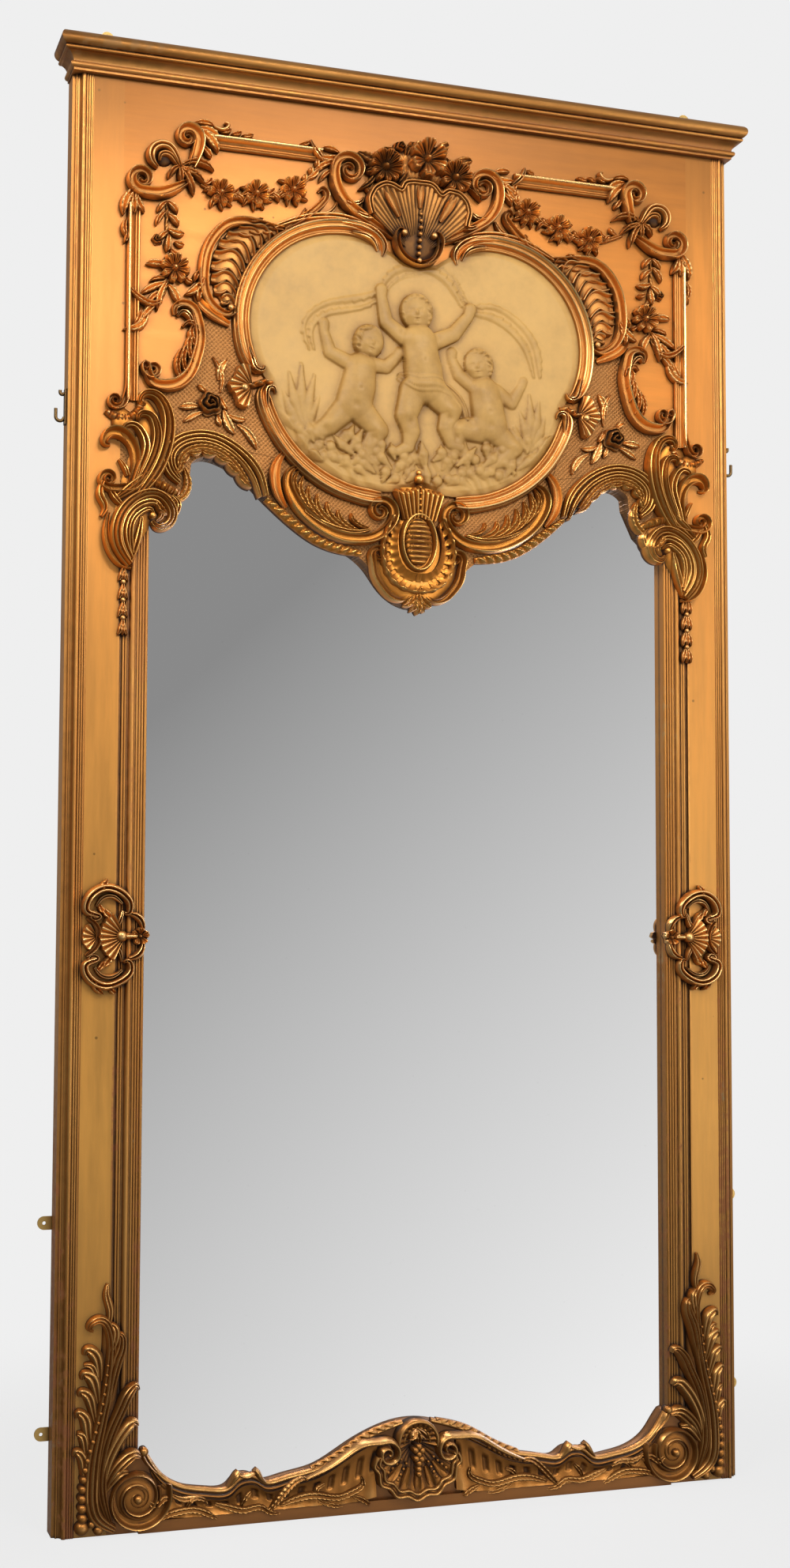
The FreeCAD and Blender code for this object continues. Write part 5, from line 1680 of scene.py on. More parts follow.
@dataclass
class BaseCorner(Ornament):
    """The acanthus plume that climbs the stile from a volute at its foot."""

    bed_relief: float = 10.0
    volute: Row = (414, 50, 42)
    volute_relief: float = 22.0
    broad_leaf: float = 17
    reeded_leaf: float = 15
    narrow_scale: float = 1.3

    stem = "base_corner"
    nodes = ("base_corner",)
    gilt = Finish.BASE_GILT

    def carve(self) -> None:
        """Draws the plume and volute of one side."""
        self.band([(460, 300, 10), (454, 250, 24), (458, 200, 34), (466, 150, 44), (470, 100, 50), (462, 55, 52),
                   (446, 22, 40)], ROUND, self.bed_relief, tone=0.25)
        for path, height in (
            ([(446, 10, 12), (472, 30, 20), (479, 70, 22), (476, 110, 21), (467, 155, 19), (458, 200, 17),
              (453, 245, 15), (455, 280, 14), (466, 297, 14), (479, 295, 12), (484, 286, 8), (478, 282, 4)], 25.0),
            ([(452, 20, 8), (464, 60, 16), (463, 100, 16), (452, 145, 18), (437, 178, 18), (426, 198, 16),
              (417, 204, 10), (413, 198, 5)], 25.0),
            ([(463, 66, 8), (458, 98, 13), (446, 126, 15), (432, 146, 15), (420, 154, 11), (414, 149, 5)], 24.0),
            ([(458, 66, 9), (447, 88, 15), (433, 103, 16), (419, 110, 13), (410, 106, 6)], 24.0),
            ([(462, 60, 6), (448, 78, 10), (436, 87, 10), (427, 86, 5)], 20.0),
            ([(462, 168, 8), (453, 208, 16), (444, 244, 18), (438, 264, 15), (441, 276, 9), (447, 274, 4)], 24.0),
            ([(456, 250, 6), (448, 270, 10), (450, 288, 8), (456, 292, 4)], 20.0),
            ([(468, 214, 6), (471, 238, 13), (478, 253, 14), (487, 257, 10), (490, 250, 5)], 19.0),
            ([(469, 200, 5), (474, 220, 9), (483, 236, 8), (490, 236, 4)], 16.0),
            ([(470, 184, 6), (475, 208, 14), (483, 222, 14), (491, 224, 9), (493, 217, 4)], 19.0),
            ([(474, 158, 6), (480, 184, 12), (488, 198, 12), (495, 200, 8), (496, 194, 4)], 18.0),
            ([(480, 124, 6), (485, 150, 13), (491, 168, 12), (498, 172, 8), (499, 165, 4)], 18.0),
            ([(483, 104, 5), (488, 126, 10), (494, 142, 9), (499, 143, 5)], 16.0),
            ([(486, 76, 6), (489, 98, 11), (493, 114, 12), (500, 119, 9), (503, 113, 4)], 18.0),
            ([(457, 288, 6), (455, 312, 9), (460, 332, 8), (458, 346, 3)], 14.0),
        ):
            widest = max(row[2] for row in path)
            scale = 1.0 if widest > self.broad_leaf else self.narrow_scale
            section = FROND if widest > self.reeded_leaf else LOBE
            self.band([(x, z, width * scale) for x, z, width in path], section, height)
        self.beads([(491, 30, 13), (492, 60, 12), (489, 92, 9), (482, 120, 7), (474, 148, 6), (467, 176, 5),
                    (462, 206, 5), (459, 236, 4)], 17, 22.0, 0.5)
        for x, z, radius in ((491, 15, 10), (468, 11, 7), (478, 20, 5)):
            self.bead(x, z, radius, 18, tone=0.7)
        x, z, radius = self.volute
        self.bead(x, z, radius - 6, 14, tone=0.4)
        self.band(spiral((x, z), (radius, 6), 158, 2.1, (22, 11)), SCROLL, self.volute_relief, tone=0.85)
        self.bead(x, z, 6, 26)


@dataclass
class BaseFrieze(Ornament):
    """The carved base rail: a thin serpentine rim over a slotted ground with leaf scrolls."""

    slot_count: int = 15
    ground_relief: float = 9.5
    rim_relief: Row = (11.0, 9.0)

    stem = "base_frieze"
    nodes = ("base_frieze",)
    gilt = Finish.BASE_GILT

    def carve(self) -> None:
        """Draws the frieze of one side."""
        rim = [(405, 108), (397, 96), (380, 73), (350, 55), (310, 47), (280, 48), (268, 58), (243, 60), (230, 52),
               (200, 54), (150, 64), (100, 90), (62, 108), (22, 120)]
        self.band([(x, z + 4, 8.0, 1) for x, z in rim], ROUND, self.rim_relief[0], tone=0.9)
        self.band([(x - 1, z - 4, 5, 1) for x, z in rim[:-1]], ROUND, self.rim_relief[1], tone=0.35)
        self.band([(160, 70, 5), (120, 86, 9), (80, 108, 10), (30, 124, 7)], ROPE, 15, tone=0.9)
        inside = [(x - 1, z - 8) for x, z in rim[1:-1]]
        outside = [(376, 20), (356, 18), (335, 17), (310, 17), (285, 17), (268, 17), (243, 17), (222, 17), (195, 17),
                   (150, 17), (100, 17), (62, 22)]
        self.slotted(inside, outside, self.slot_count, self.ground_relief, (0.14, 0.56))
        branch = [(168, 58, 4), (140, 70, 8), (112, 86, 10), (84, 100, 11)]
        self.bands([
            ([(400, 46, 5), (388, 38, 11), (374, 46, 10), (364, 40, 5)], LEAF, 17),
            ([(388, 14, 6), (372, 22, 11), (352, 26, 12), (330, 26, 11), (310, 18, 10), (298, 12, 5)], LEAF, 15),
            ([(368, 52, 4), (346, 42, 9), (326, 42, 8), (312, 36, 4)], LEAF, 14),
            ([(344, 30, 4), (336, 40, 8), (326, 44, 5)], LEAF, 15),
            ([(302, 32, 5), (280, 25, 11), (256, 20, 11), (236, 22, 10), (222, 14, 9), (206, 11, 4)], LEAF, 15),
            ([(264, 24, 4), (258, 36, 8), (250, 44, 5)], LEAF, 14),
            ([(226, 14, 6), (208, 32, 11), (192, 48, 11), (176, 57, 9), (164, 56, 4)], LEAF, 17),
            ([(206, 22, 6), (180, 30, 11), (150, 31, 12), (120, 26, 11), (98, 32, 11), (82, 44, 8), (84, 52, 4)],
             LEAF, 16),
            ([(158, 30, 4), (150, 42, 8), (140, 46, 4)], LEAF, 14),
            ([(150, 24, 5), (130, 16, 9), (110, 13, 4)], LEAF, 13),
            ([(98, 26, 5), (84, 20, 10), (72, 12, 6)], LEAF, 15),
            (branch + spiral((47, 83), (20, 4), 66, 1.45, (11, 6)), ROUND, 29),
            ([(284, 53, 4), (276, 62, 9), (270, 70, 10), (267, 74, 7)], ROUND, 17),
            ([(268, 69, 4), (256, 66, 7), (244, 70, 4)], ROUND, 16),
            ([(227, 55, 4), (236, 63, 9), (241, 71, 10), (244, 75, 7)], ROUND, 17),
            ([(378, 76, 4), (394, 92, 9), (404, 108, 10), (408, 118, 4)], REEDS, 16),
        ])
        self.beads([(168, 56, 5), (140, 66, 5), (112, 80, 6)], 8, 15.0, 0.6)
        self.bead(405, 113, 6, 18)


@dataclass
class BaseShell(Ornament):
    """The scalloped shell in the middle of the base, with a knop and a hanging cluster of beads."""

    hinge_height: float = 97
    shell_relief: float = 24.0
    knop_relief: float = 25.0
    bead_radius: float = 4.6

    stem = "base_shell"
    nodes = ("base_shell",)
    single = True
    shift = -2.0
    gilt = Finish.BASE_GILT

    @staticmethod
    def rim(degrees: np.ndarray) -> np.ndarray:
        """Radius of the scalloped rim at an angle."""
        lean = np.abs(degrees - 270.0)
        return np.interp(lean, [0, 20, 45, 65, 80], [83, 82, 80, 74, 60]) + 2.4 * np.cos(np.radians(16.0 * lean))

    def carve(self) -> None:
        """Draws the shell and its knop."""
        self.shell((0, self.hinge_height), (196, 344), self.rim, 13, self.shell_relief, 0.12, 0.5, 1.0, 0.36)
        for share, width, lift in ((0.965, 6.0, 16.0), (0.86, 5.0, 17.0)):
            edge = [ray(self.hinge_height, degrees, [(self.rim(degrees) * share, width)])[0]
                    for degrees in range(196, 345, 3)]
            self.band(edge, ROUND, 8, lift, tone=0.9)
        for lean, width in ((-60, 10), (-40, 12), (-20, 12), (0, 12), (20, 12), (40, 12), (60, 10)):
            rows = [(reach, width * wide, 0.3 + 0.9 * wide) for reach, wide in
                    ((38, 0.4), (48, 0.75), (58, 1.0), (68, 0.7))]
            self.band(ray(self.hinge_height, 270 + lean, rows), COVE, 6, 14.0, tone=0.8)
        self.shell((0, self.hinge_height - 1), (-8, 188),
                   lambda degrees: 31.0 + 1.5 * np.cos(np.radians(18.0 * degrees)), 11, self.knop_relief, 0.3, 0.5,
                   1.0, 0.6)
        for radius, lift in ((30.0, 17.0), (20.0, 9.0)):
            ring = arc((0, self.hinge_height), radius, (-14, 194), [4.0] + [7.0] * 9 + [4.0])
            self.band(ring, ROUND, 9, lift, tone=0.8)
        self.leaves([(0, 116, 13, 102, 11, 0.0), (0, 116, -13, 102, 11, 0.0), (0, 116, 0, 96, 11, 0.0)], 31)
        for x, z in ((0, 92), (-5, 87), (5, 86), (0, 81), (-4, 75), (4, 74), (0, 68), (0, 60), (0, 53)):
            self.bead(x, z, self.bead_radius, 29, tone=0.6)
        for degrees in (222, 240, 300, 318):
            self.beads(ray(self.hinge_height, degrees, ((34, 4), (60, 6))), 4, 19.0, 0.5)


@dataclass
class Ground:
    """The tooled ground between the ornaments of the spandrel, a thin sheet let into the panel's front plane."""

    finishes: Finishes
    front: float
    thickness: float = 0.8
    sink: float = 0.6

    outline: ClassVar[Path] = (
        (400, 1540), (402, 1590), (392, 1622), (372, 1636), (352, 1656), (343, 1690), (342, 1735), (338, 1758),
        (318, 1746), (296, 1736), (286, 1700), (276, 1670), (262, 1650), (250, 1610), (232, 1574), (222, 1540),
        (260, 1545), (330, 1562))

    def build(self) -> None:
        """Lays a thin sheet on each side."""
        count = len(self.outline)
        points = np.array([(x, high, z) for high in (self.thickness, -self.sink) for x, z in self.outline], dtype=float)
        here = np.arange(count)
        after = (here + 1) % count
        edges = np.stack([after, here, count + here, count + after], axis=-1)
        for side in Side:
            carving = Carving(self.front, side)
            carving.add(points, [np.stack([here, count + here[::-1]]), edges], np.ones(2 * count))
            piece = carving.make("spandrel_ground_" + side.value)
            self.finishes.dress(piece, Finish.HATCHED_GILT)
            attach(piece, "root")
            LOG.info("%s laid", piece.name)


@dataclass(frozen=True)
class Child:
    """One child of the relief.

    Args:
        head: x, z and radius of the head.
        turn: which way the face looks, from -1 to 1.
        nod: how far the head leans, in degrees.
        body: chains of x, z and half width for trunk, arms and legs.
        lift: how far in front of the ground the child stands.
        masses: rows of x, z, size and relief of the soft swells and dimples on the body.
    """

    head: Row
    turn: float
    nod: float
    body: tuple[Path, ...]
    lift: float
    masses: Path

    # Relief, place, width and height of the nose, lips, cheeks, chin, sockets, mouth and eyes, as shares of the radius.
    features: ClassVar[Path] = (
        (0.17, 0.0, -0.1, 0.09, 0.15), (0.07, 0.0, -0.36, 0.13, 0.05), (0.07, 0.0, -0.5, 0.11, 0.05),
        (0.09, 0.36, -0.26, 0.2, 0.2), (0.09, -0.36, -0.26, 0.2, 0.2), (0.1, 0.0, -0.7, 0.2, 0.14),
        (-0.07, 0.27, 0.07, 0.14, 0.08), (-0.07, -0.27, 0.07, 0.14, 0.08), (-0.05, 0.0, -0.43, 0.16, 0.025),
        (0.06, 0.27, 0.05, 0.07, 0.05), (0.06, -0.27, 0.05, 0.07, 0.05))

    @staticmethod
    def join(first: np.ndarray, second: np.ndarray, soft: float) -> np.ndarray:
        """The higher of two reliefs, with a soft crease between them.

        Args:
            first: one relief.
            second: the other.
            soft: how wide the crease is, in relief.
        Returns:
            The joined relief.
        """
        share = np.clip(0.5 + 0.5 * (first - second) / soft, 0.0, 1.0)
        both = np.clip(np.minimum(first, second) / 2.0, 0.0, 1.0)
        higher = np.maximum(first, second)
        return higher + both * (second + (first - second) * share + soft * share * (1.0 - share) - higher)

    @staticmethod
    def chain(x: np.ndarray, z: np.ndarray, path: Path, swell: float, step: float) -> np.ndarray:
        """Relief of a tapering limb.

        Args:
            x: places across.
            z: places up.
            path: rows of x, z and half width.
            swell: relief as a share of the half width.
            step: relief of its edge.
        Returns:
            The relief, 0 outside the limb.
        """
        high = np.zeros_like(x)
        for (ax, az, ar), (bx, bz, br) in zip(path, path[1:]):
            share = ((x - ax) * (bx - ax) + (z - az) * (bz - az)) / ((bx - ax) ** 2 + (bz - az) ** 2)
            share = np.clip(share, 0.0, 1.0)
            radius = ar + (br - ar) * share
            inside = 1.0 - ((x - ax - share * (bx - ax)) ** 2 + (z - az - share * (bz - az)) ** 2) / radius**2
            cap = swell * radius * np.sqrt(np.maximum(inside, 0.0)) + step * np.clip(5.0 * inside, 0.0, 1.0)
            high = np.maximum(high, cap)
        return high

    def face(self, x: np.ndarray, z: np.ndarray) -> np.ndarray:
        """Relief of a round, calm child's head with curled hair.

        Args:
            x: places across.
            z: places up.
        Returns:
            The relief, 0 outside the head.
        """
        lean = math.radians(self.nod)
        u = ((x - self.head[0]) * math.cos(lean) + (z - self.head[1]) * math.sin(lean)) / self.head[2]
        v = ((z - self.head[1]) * math.cos(lean) - (x - self.head[0]) * math.sin(lean)) / self.head[2]
        ball = np.sqrt(np.maximum(1.0 - 1.08 * u**2 - 0.88 * v**2, 0.0))
        side = u - 0.42 * self.turn
        brow = 0.45 + 0.25 * np.cos(2.6 * side)
        hair = np.clip(5.0 * np.maximum(v - brow, np.abs(side) - 0.66 - 0.1 * v), 0.0, 1.0)
        curls = 0.15 + 0.15 * np.sin(8.5 * u + 3.0 * np.sin(6.0 * v)) * np.cos(7.5 * v - 2.0 * np.sin(5.0 * u))
        flesh = np.zeros_like(u)
        for relief, across, up, wide, high in self.features:
            flesh = flesh + relief * np.exp(-(((side - across) / wide) ** 2) - ((v - up) / high) ** 2)
        detail = flesh * (1.0 - hair) + curls * hair
        swell = 0.6 * ball + detail * np.minimum(1.0, 2.5 * ball)
        return np.where(ball > 0.0, swell * self.head[2] * 0.62 + 2.5, 0.0)

    def relief(self, x: np.ndarray, z: np.ndarray) -> np.ndarray:
        """Relief of the whole child.

        Args:
            x: places across.
            z: places up.
        Returns:
            The relief, 0 outside the child.
        """
        total = np.zeros_like(x)
        for path in self.body:
            total = self.join(total, self.chain(x, z, path, 0.55, 1.4), 4.5)
        for cx, cz, size, high in self.masses:
            total = total + high * np.exp(-((x - cx) ** 2 + (z - cz) ** 2) / size**2) * np.clip(total / 3.0, 0.0, 1.0)
        total = np.maximum(total, self.face(x, z) + 1.0)
        return total + self.lift * np.clip(total / 2.0, 0.0, 1.0)


@dataclass
class Plaque:
    """The plaster plaque with its low relief of three children at play with a scarf among leaves.

    Args:
        front: the panel's front plane in millimetres.
        middle: height of its centre.
        thickness: how far its face stands in front of the panel.
        rim: share of the radius over which the relief dies out at the edge.
        blades: how many leaf blades grow from the ground.
        mesh: how many angles and rings it is modelled with.
    """

    finishes: Finishes
    front: float
    middle: float = 1690.0
    thickness: float = 5.0
    rim: float = 0.05
    blades: int = 90
    mesh: tuple[int, int] = (620, 156)

    lobes: ClassVar[Path] = ((120.0, 1742.0, 147.0), (60.0, 1680.0, 180.0), (0.0, 1700.0, 150.0))
    scarf: ClassVar[Path] = (
        (-172, 1712, 8), (-176, 1740, 13), (-152, 1768, 15), (-112, 1782, 17), (-64, 1806, 10), (-44, 1832, 15),
        (0, 1848, 18), (48, 1830, 15), (82, 1792, 10), (112, 1790, 17), (150, 1776, 19), (182, 1742, 17),
        (192, 1706, 8))
    wrap: ClassVar[Path] = (
        (-28, 1676, 8), (-4, 1666, 13), (24, 1668, 13), (46, 1662, 10), (66, 1644, 8), (76, 1622, 4))
    palms: ClassVar[tuple[tuple[Row, Path], ...]] = (
        ((-178, 1574), ((-214, 1640), (-205, 1668), (-186, 1684), (-166, 1668), (-158, 1636), (-222, 1612))),
        ((176, 1578), ((206, 1634), (196, 1658), (180, 1668), (214, 1608), (164, 1640))))
    children: ClassVar[tuple[Child, ...]] = (
        Child((96, 1706, 25), -0.6, 14.0, (
            ((99, 1684, 12), (104, 1666, 25), (110, 1640, 28), (114, 1616, 29)),
            ((88, 1672, 13), (64, 1688, 11), (52, 1712, 8), (52, 1722, 9)),
            ((124, 1668, 13), (150, 1652, 11), (166, 1678, 8), (170, 1688, 8)),
            ((122, 1604, 21), (154, 1582, 16), (132, 1560, 13), (112, 1550, 9), (98, 1548, 8)),
            ((98, 1606, 22), (62, 1604, 17), (58, 1578, 14), (54, 1556, 9), (38, 1551, 8))), 0.5,
            ((98, 1664, 10, 1.8), (116, 1662, 10, 1.8), (110, 1634, 16, 3.5), (110, 1632, 3, -1.2),
             (154, 1584, 8, 2.4), (62, 1604, 9, 2.4), (112, 1612, 6, -2.0), (84, 1612, 6, -1.6), (58, 1590, 5, -1.8))),
        Child((-82, 1726, 25), 0.55, -12.0, (
            ((-87, 1702, 12), (-94, 1684, 25), (-98, 1656, 28), (-104, 1632, 29)),
            ((-114, 1692, 13), (-142, 1704, 11), (-152, 1736, 8), (-152, 1748, 9)),
            ((-116, 1622, 21), (-142, 1594, 16), (-164, 1580, 12), (-182, 1572, 9), (-190, 1560, 8)),
            ((-92, 1618, 22), (-66, 1592, 17), (-80, 1568, 13), (-84, 1550, 9), (-68, 1544, 8)),
            ((-78, 1692, 13), (-54, 1690, 11), (-38, 1706, 9), (-32, 1714, 9))), 1.5,
            ((-104, 1682, 10, 1.8), (-86, 1682, 10, 1.8), (-98, 1652, 16, 3.5), (-98, 1650, 3, -1.2),
             (-142, 1596, 9, 2.4), (-66, 1592, 9, 2.4), (-104, 1626, 6, -2.0), (-74, 1578, 5, -1.8),
             (-152, 1586, 5, -1.6))),
        Child((-6, 1778, 27), -0.25, 6.0, (
            ((-4, 1752, 13), (-2, 1734, 28), (3, 1706, 29), (6, 1686, 31), (8, 1668, 31)),
            ((-26, 1738, 14), (-54, 1758, 12), (-62, 1796, 9), (-62, 1808, 10)),
            ((-10, 1656, 23), (-22, 1618, 18), (-14, 1594, 15), (-18, 1570, 10), (-34, 1562, 8)),
            ((24, 1656, 23), (50, 1632, 18), (42, 1604, 14), (50, 1580, 10), (66, 1576, 8)),
            ((24, 1736, 14), (54, 1750, 12), (78, 1780, 9), (82, 1792, 10))), 4.0,
            ((-14, 1736, 11, 2.0), (10, 1735, 11, 2.0), (3, 1704, 18, 4.0), (3, 1702, 3, -1.2), (-21, 1620, 9, 2.6),
             (49, 1632, 9, 2.6), (-16, 1607, 5, -2.0), (45, 1618, 5, -2.0), (-30, 1744, 5, -1.5),
             (28, 1742, 5, -1.5))),
    )

    def edge(self, angle: np.ndarray) -> np.ndarray:
        """Distance from the plaque's centre to its lobed edge.

        Args:
            angle: the way out, in radians.
        Returns:
            The distance at each angle.
        """
        reach = np.zeros_like(angle)
        for across, up, radius in self.lobes:
            for sign in (1.0, -1.0):
                x, z = sign * across, up - self.middle
                along = x * np.cos(angle) + z * np.sin(angle)
                gap = radius**2 - (x**2 + z**2 - along**2)
                reach = np.maximum(reach, np.where(gap > 0.0, along + np.sqrt(np.maximum(gap, 0.0)), 0.0))
        return reach

    @staticmethod
    def cloth(x: np.ndarray, z: np.ndarray, path: Path) -> np.ndarray:
        """Relief of a blown scarf with folds along it.

        Args:
            x: places across.
            z: places up.
            path: rows of x, z and half width.
        Returns:
            The relief, 0 outside the scarf.
        """
        rows = curve(path, 40)
        high = np.zeros_like(x)
        for (ax, az, ar), (bx, bz, _) in zip(rows, rows[1:]):
            length = math.hypot(bx - ax, bz - az)
            along = np.clip(((x - ax) * (bx - ax) + (z - az) * (bz - az)) / length**2, 0.0, 1.0)
            off = ((x - ax) * (az - bz) + (z - az) * (bx - ax)) / (length * ar)
            near = (x - ax - along * (bx - ax)) ** 2 + (z - az - along * (bz - az)) ** 2 < ar**2
            fold = 2.2 + 0.9 * np.cos(6.0 * off + 0.02 * ax) + 0.8 * np.clip(np.abs(off) - 0.6, 0.0, 1.0)
            high = np.where(near, np.maximum(high, fold * np.clip(3.0 * (1.0 - np.abs(off)), 0.0, 1.0)), high)
        return high

    def growth(self, x: np.ndarray, z: np.ndarray) -> np.ndarray:
        """Relief of the leaf blades along the ground and of the two palms.

        Args:
            x: places across.
            z: places up.
        Returns:
            The relief, 0 between the leaves.
        """
        total = np.zeros_like(x)
        generator = np.random.default_rng(11)
        for index in range(self.blades):
            foot_x = -196.0 + 4.4 * index + generator.uniform(-7.0, 7.0)
            foot_z = 1538.0 - 26.0 * (index % 2) + 0.0011 * foot_x**2 + generator.uniform(-6.0, 16.0)
            lean, long = generator.uniform(-1.0, 1.0), generator.uniform(20.0, 46.0)
            tip_x, tip_z = foot_x + long * math.sin(lean), foot_z + long * math.cos(lean)
            bulge = (0.5 * (foot_x + tip_x) + 3.0 * lean, 0.5 * (foot_z + tip_z), 9.0)
            blade = ((foot_x, foot_z, 3.0), bulge, (tip_x, tip_z, 1.5))
            total = np.maximum(total, Child.chain(x, z, blade, 0.55, 1.5 + 4.5 * generator.random()))
        for root, tips in self.palms:
            for tip_x, tip_z in tips:
                bulge = (0.45 * root[0] + 0.55 * tip_x + math.copysign(4, tip_x), 0.45 * root[1] + 0.55 * tip_z, 9)
                blade = ((*root, 4), bulge, (tip_x, tip_z, 2))
                total = np.maximum(total, Child.chain(x, z, blade, 0.5, 1.6 + 0.03 * (tip_z - 1600)))
        return total

    def relief(self, x: np.ndarray, z: np.ndarray) -> np.ndarray:
        """Relief of the whole scene above the plaque's face.

        Args:
            x: places across.
            z: places up.
        Returns:
            The relief.
        """
        total = np.maximum(1.7 * self.cloth(x, z, self.scarf), self.growth(x, z))
        ground = 5.0 * np.clip((1556.0 + 10.0 * np.sin(0.028 * x + 0.9) + 0.001 * x**2 - z) / 16.0, 0.0, 1.0)
        ground = ground * (0.75 + 0.25 * np.sin(0.19 * x + 0.13 * z + 2.0 * np.sin(0.06 * x)))
        total = Child.join(total, ground, 1.0)
        for child in self.children:
            total = np.maximum(total, child.relief(x, z))
        total = total + 0.9 * self.cloth(x, z, self.wrap)
        return total + 0.35 * np.sin(0.06 * x + 1.0) * np.sin(0.05 * z)

    def carved(self, share: np.ndarray, angle: np.ndarray) -> np.ndarray:
        """The relief at a share of the way to the edge and an angle."""
        reach = self.edge(angle) * share
        return self.relief(reach * np.cos(angle), self.middle + reach * np.sin(angle))

    def high(self, share: np.ndarray, angle: np.ndarray) -> np.ndarray:
        """How far the plaque stands in front of the panel there."""
        return self.thickness + self.carved(share, angle) * np.clip((1.0 - share) / self.rim, 0.0, 1.0)

    def tone(self, share: np.ndarray, angle: np.ndarray) -> np.ndarray:
        """The finish value there: high relief is toned darker than the ground."""
        return 1.0 - 0.5 * np.clip(self.carved(share, angle) / 6.0, 0.0, 1.0)

    def build(self) -> None:
        """Makes the plaque."""
        carving = Carving(self.front)
        carving.dome((0.0, self.middle), self.edge, self.high, self.mesh, rise=self.tone)
        piece = carving.make("relief_plaque_carved")
        self.finishes.dress(piece, Finish.PLASTER)
        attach(piece, "root")
        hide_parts("relief_plaque")
        LOG.info("%s: %d faces", piece.name, len(piece.data.polygons))


@dataclass(frozen=True)
class Lamp:
    """A soft warm light of a width and height, aimed at a place on the mirror, in metres and watts."""

    name: str
    place: Colour
    size: Row
    power: float
    aim: Colour = (0.0, 0.0, 1.25)
    warmth: Colour = (1.0, 0.97, 0.93)

    def hang(self) -> None:
        """Adds the light to the scene."""
        light = bpy.data.lights.new(self.name, "AREA")
        light.shape = "RECTANGLE"
        light.size, light.size_y = self.size
        light.energy = self.power
        light.color = self.warmth
        made = bpy.data.objects.new(self.name, light)
        bpy.context.scene.collection.objects.link(made)
        made.location = self.place
        made.rotation_mode = "QUATERNION"
        made.rotation_quaternion = (Vector(self.aim) - Vector(self.place)).to_track_quat("-Z", "Y")


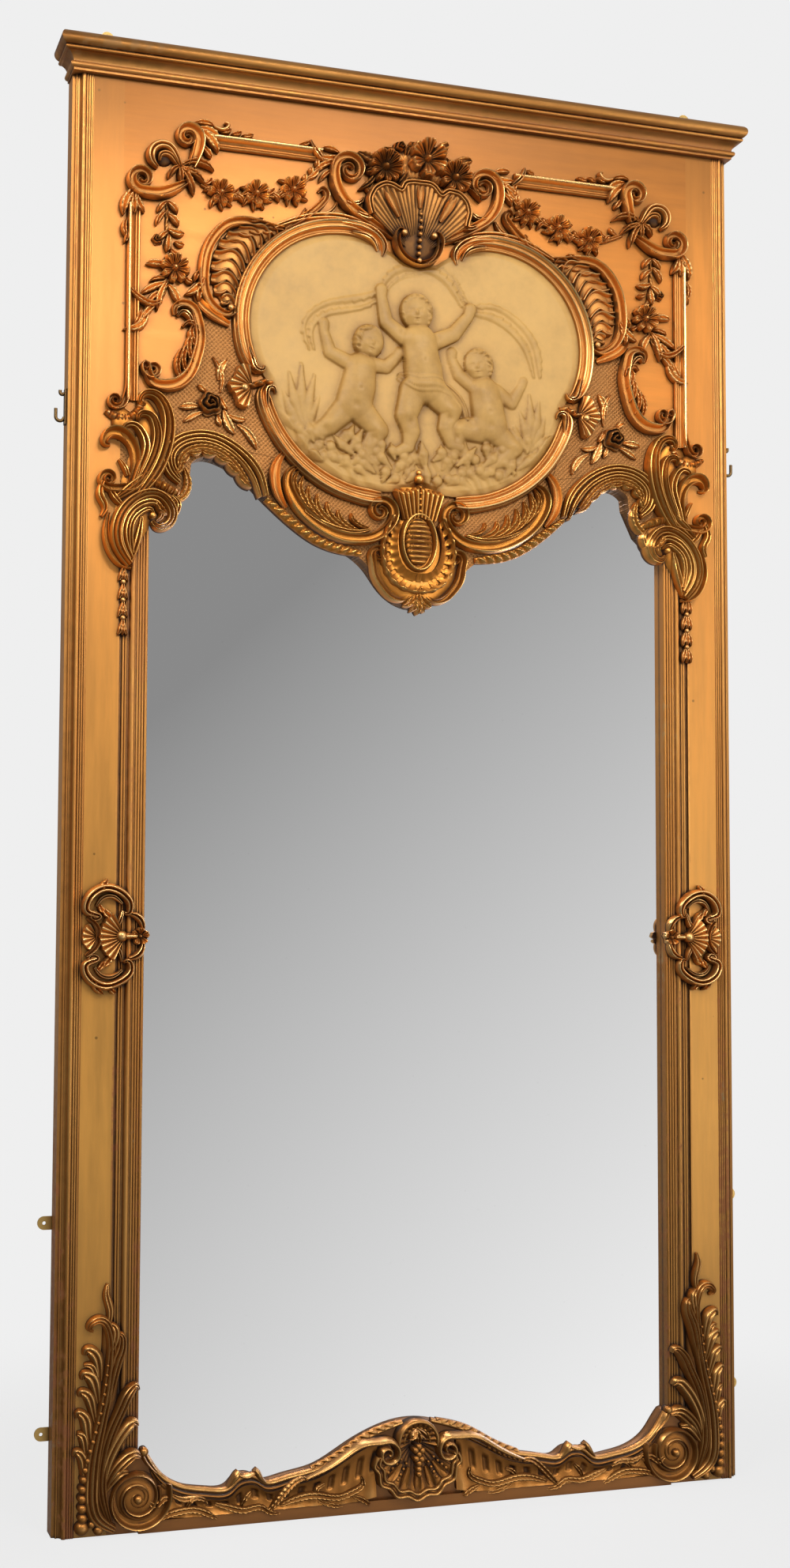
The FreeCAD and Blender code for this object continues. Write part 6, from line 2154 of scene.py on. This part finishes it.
@dataclass
class Studio:
    """The floor, the lights, the surroundings and the camera.

    Args:
        pale: brightness of the background.
        fill: brightness of the light from all round.
        eye: the camera's place in metres, then the way it looks, its upward direction, lens and sensor.
        floor_fade: distances at which the floor begins to fade and is gone.
        floor_glow: how much of the background's own light the floor shows the camera.
    """

    pale: float = 0.863
    fill: float = 0.26
    eye: Colour = (-0.99267, -2.90856, 0.84314)
    ahead: Colour = (0.31664, 0.94584, 0.07153)
    upward: Colour = (-0.02576, -0.0668, 0.99743)
    lens: float = 46.48
    sensor: float = 36.0
    floor_half: float = 6.0
    floor_drop: float = 0.0005
    floor_fade: Row = (0.6, 1.5)
    floor_glow: float = 0.9

    lamps: ClassVar[tuple[Lamp, ...]] = (
        Lamp("left_light", (-2.2, -2.1, 3.2), (1.2, 1.2), 46.0),
        Lamp("right_light", (2.8, -1.9, 2.6), (1.2, 1.2), 9.0),
        Lamp("head_light", (0.85, -2.8, 3.25), (0.5, 0.3), 14.0, (0.0, 0.0, 2.0)),
        Lamp("front_light", (0.2, -2.8, 2.62), (0.6, 0.46), 22.0),
        Lamp("strip_light", (1.631, -2.3, 1.3), (0.12, 2.55), 9.0, (0.475, 0.0, 1.0)),
    )

    def floor(self) -> None:
        """A pale floor that keeps the mirror's shadow and fades into the background."""
        mesh = bpy.data.meshes.new("floor")
        far = self.floor_half
        mesh.from_pydata([(-far, -far, 0), (far, -far, 0), (far, far, 0), (-far, far, 0)], [], [(0, 1, 2, 3)])
        made = bpy.data.objects.new("floor", mesh)
        bpy.context.scene.collection.objects.link(made)
        made.location.z = -self.floor_drop
        made.visible_glossy = False
        shader = Shader.of("floor_paint")
        place = shader.place((1.0, 1.0, 0.0))
        away = shader.out(shader.node("ShaderNodeVectorMath", {"operation": "LENGTH"}, {0: place}), "Value")
        matt = shader.surface({"Base Color": (0.8, 0.8, 0.8), "Roughness": 0.9, "Specular IOR Level": 0.0})
        pale = shader.out(shader.node("ShaderNodeEmission", None, {"Color": (self.pale,) * 3, "Strength": 1.0}))
        seen = self.floor_glow * shader.out(shader.node("ShaderNodeLightPath"), "Is Camera Ray")
        matt = shader.out(shader.node("ShaderNodeMixShader", None, {0: seen, 1: matt, 2: pale}))
        clear = shader.out(shader.node("ShaderNodeBsdfTransparent"))
        fade = shader.step(away, *self.floor_fade)
        shader.finish(shader.out(shader.node("ShaderNodeMixShader", None, {0: fade, 1: matt, 2: clear})))
        mesh.materials.append(shader.owner)

    def surroundings(self) -> None:
        """Plain light all round, a flat pale background and a soft gradient for what the glass reflects."""
        world = bpy.data.worlds.new("studio")
        bpy.context.scene.world = world
        shader = Shader(world)
        found = shader.out(shader.node("ShaderNodeTexCoord"), "Generated")
        way = shader.node("ShaderNodeSeparateXYZ", None, {0: found})
        across, height = shader.out(way, "X"), shader.out(way, "Z")
        seen = shader.node("ShaderNodeLightPath")
        fall = 0.53 - 1.2 * height + 1.15 * (across - 0.318)
        room = shader.math("MAXIMUM", shader.math("MINIMUM", fall, 0.95), 0.27)
        sides = shader.step(shader.math("ABSOLUTE", across, 0.0), 0.6, 0.9, 1.0, 0.3)
        room = room * shader.step(height, -0.6, -0.3, 0.15, 1.0) * sides
        room = room + shader.step(height, 0.45, 0.8, 0.0, 0.65)
        level = self.fill + (self.pale - self.fill) * shader.out(seen, "Is Camera Ray")
        level = level + (room - level) * shader.out(seen, "Is Glossy Ray")
        sky = shader.node("ShaderNodeBackground", None, {"Color": shader.grey(level), "Strength": 1.0})
        shader.finish(shader.out(sky), "ShaderNodeOutputWorld")

    def camera(self) -> None:
        """The camera at the photograph's viewpoint."""
        data = bpy.data.cameras.new("camera")
        data.lens = self.lens
        data.sensor_width = self.sensor
        data.sensor_fit = "AUTO"
        made = bpy.data.objects.new("camera", data)
        bpy.context.scene.collection.objects.link(made)
        back = -Vector(self.ahead).normalized()
        up = Vector(self.upward)
        right = up.cross(back).normalized()
        up = back.cross(right)
        turn = Matrix((right, up, back)).transposed().to_4x4()
        made.matrix_world = Matrix.Translation(Vector(self.eye)) @ turn
        bpy.context.scene.camera = made

    def build(self) -> None:
        """Sets up the studio."""
        self.floor()
        for lamp in self.lamps:
            lamp.hang()
        self.surroundings()
        self.camera()
        bpy.context.scene.view_settings.view_transform = "Standard"
        LOG.info("studio set")


def main() -> None:
    """Builds the mirror's looks in order."""
    logging.basicConfig(level=logging.INFO, format="%(message)s")
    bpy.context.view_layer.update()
    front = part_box("head_panel")[0][1] / MM
    finishes = Finishes()
    Carcass(finishes).dress()
    Plaque(finishes, front).build()
    Ground(finishes, front).build()
    for kind in (PlaqueFrame, CrestShell, CrestFlowers, Crest, Wing, Border, Garlands, Spandrel, Ear, Apron, Cartouche,
                 Husks, Clasp, BaseCorner, BaseFrieze, BaseShell):
        for side in Side:
            if side is Side.RIGHT or not kind.single:
                kind(front, side).build(finishes)
    Studio().build()


if __name__ == "__main__":
    main()
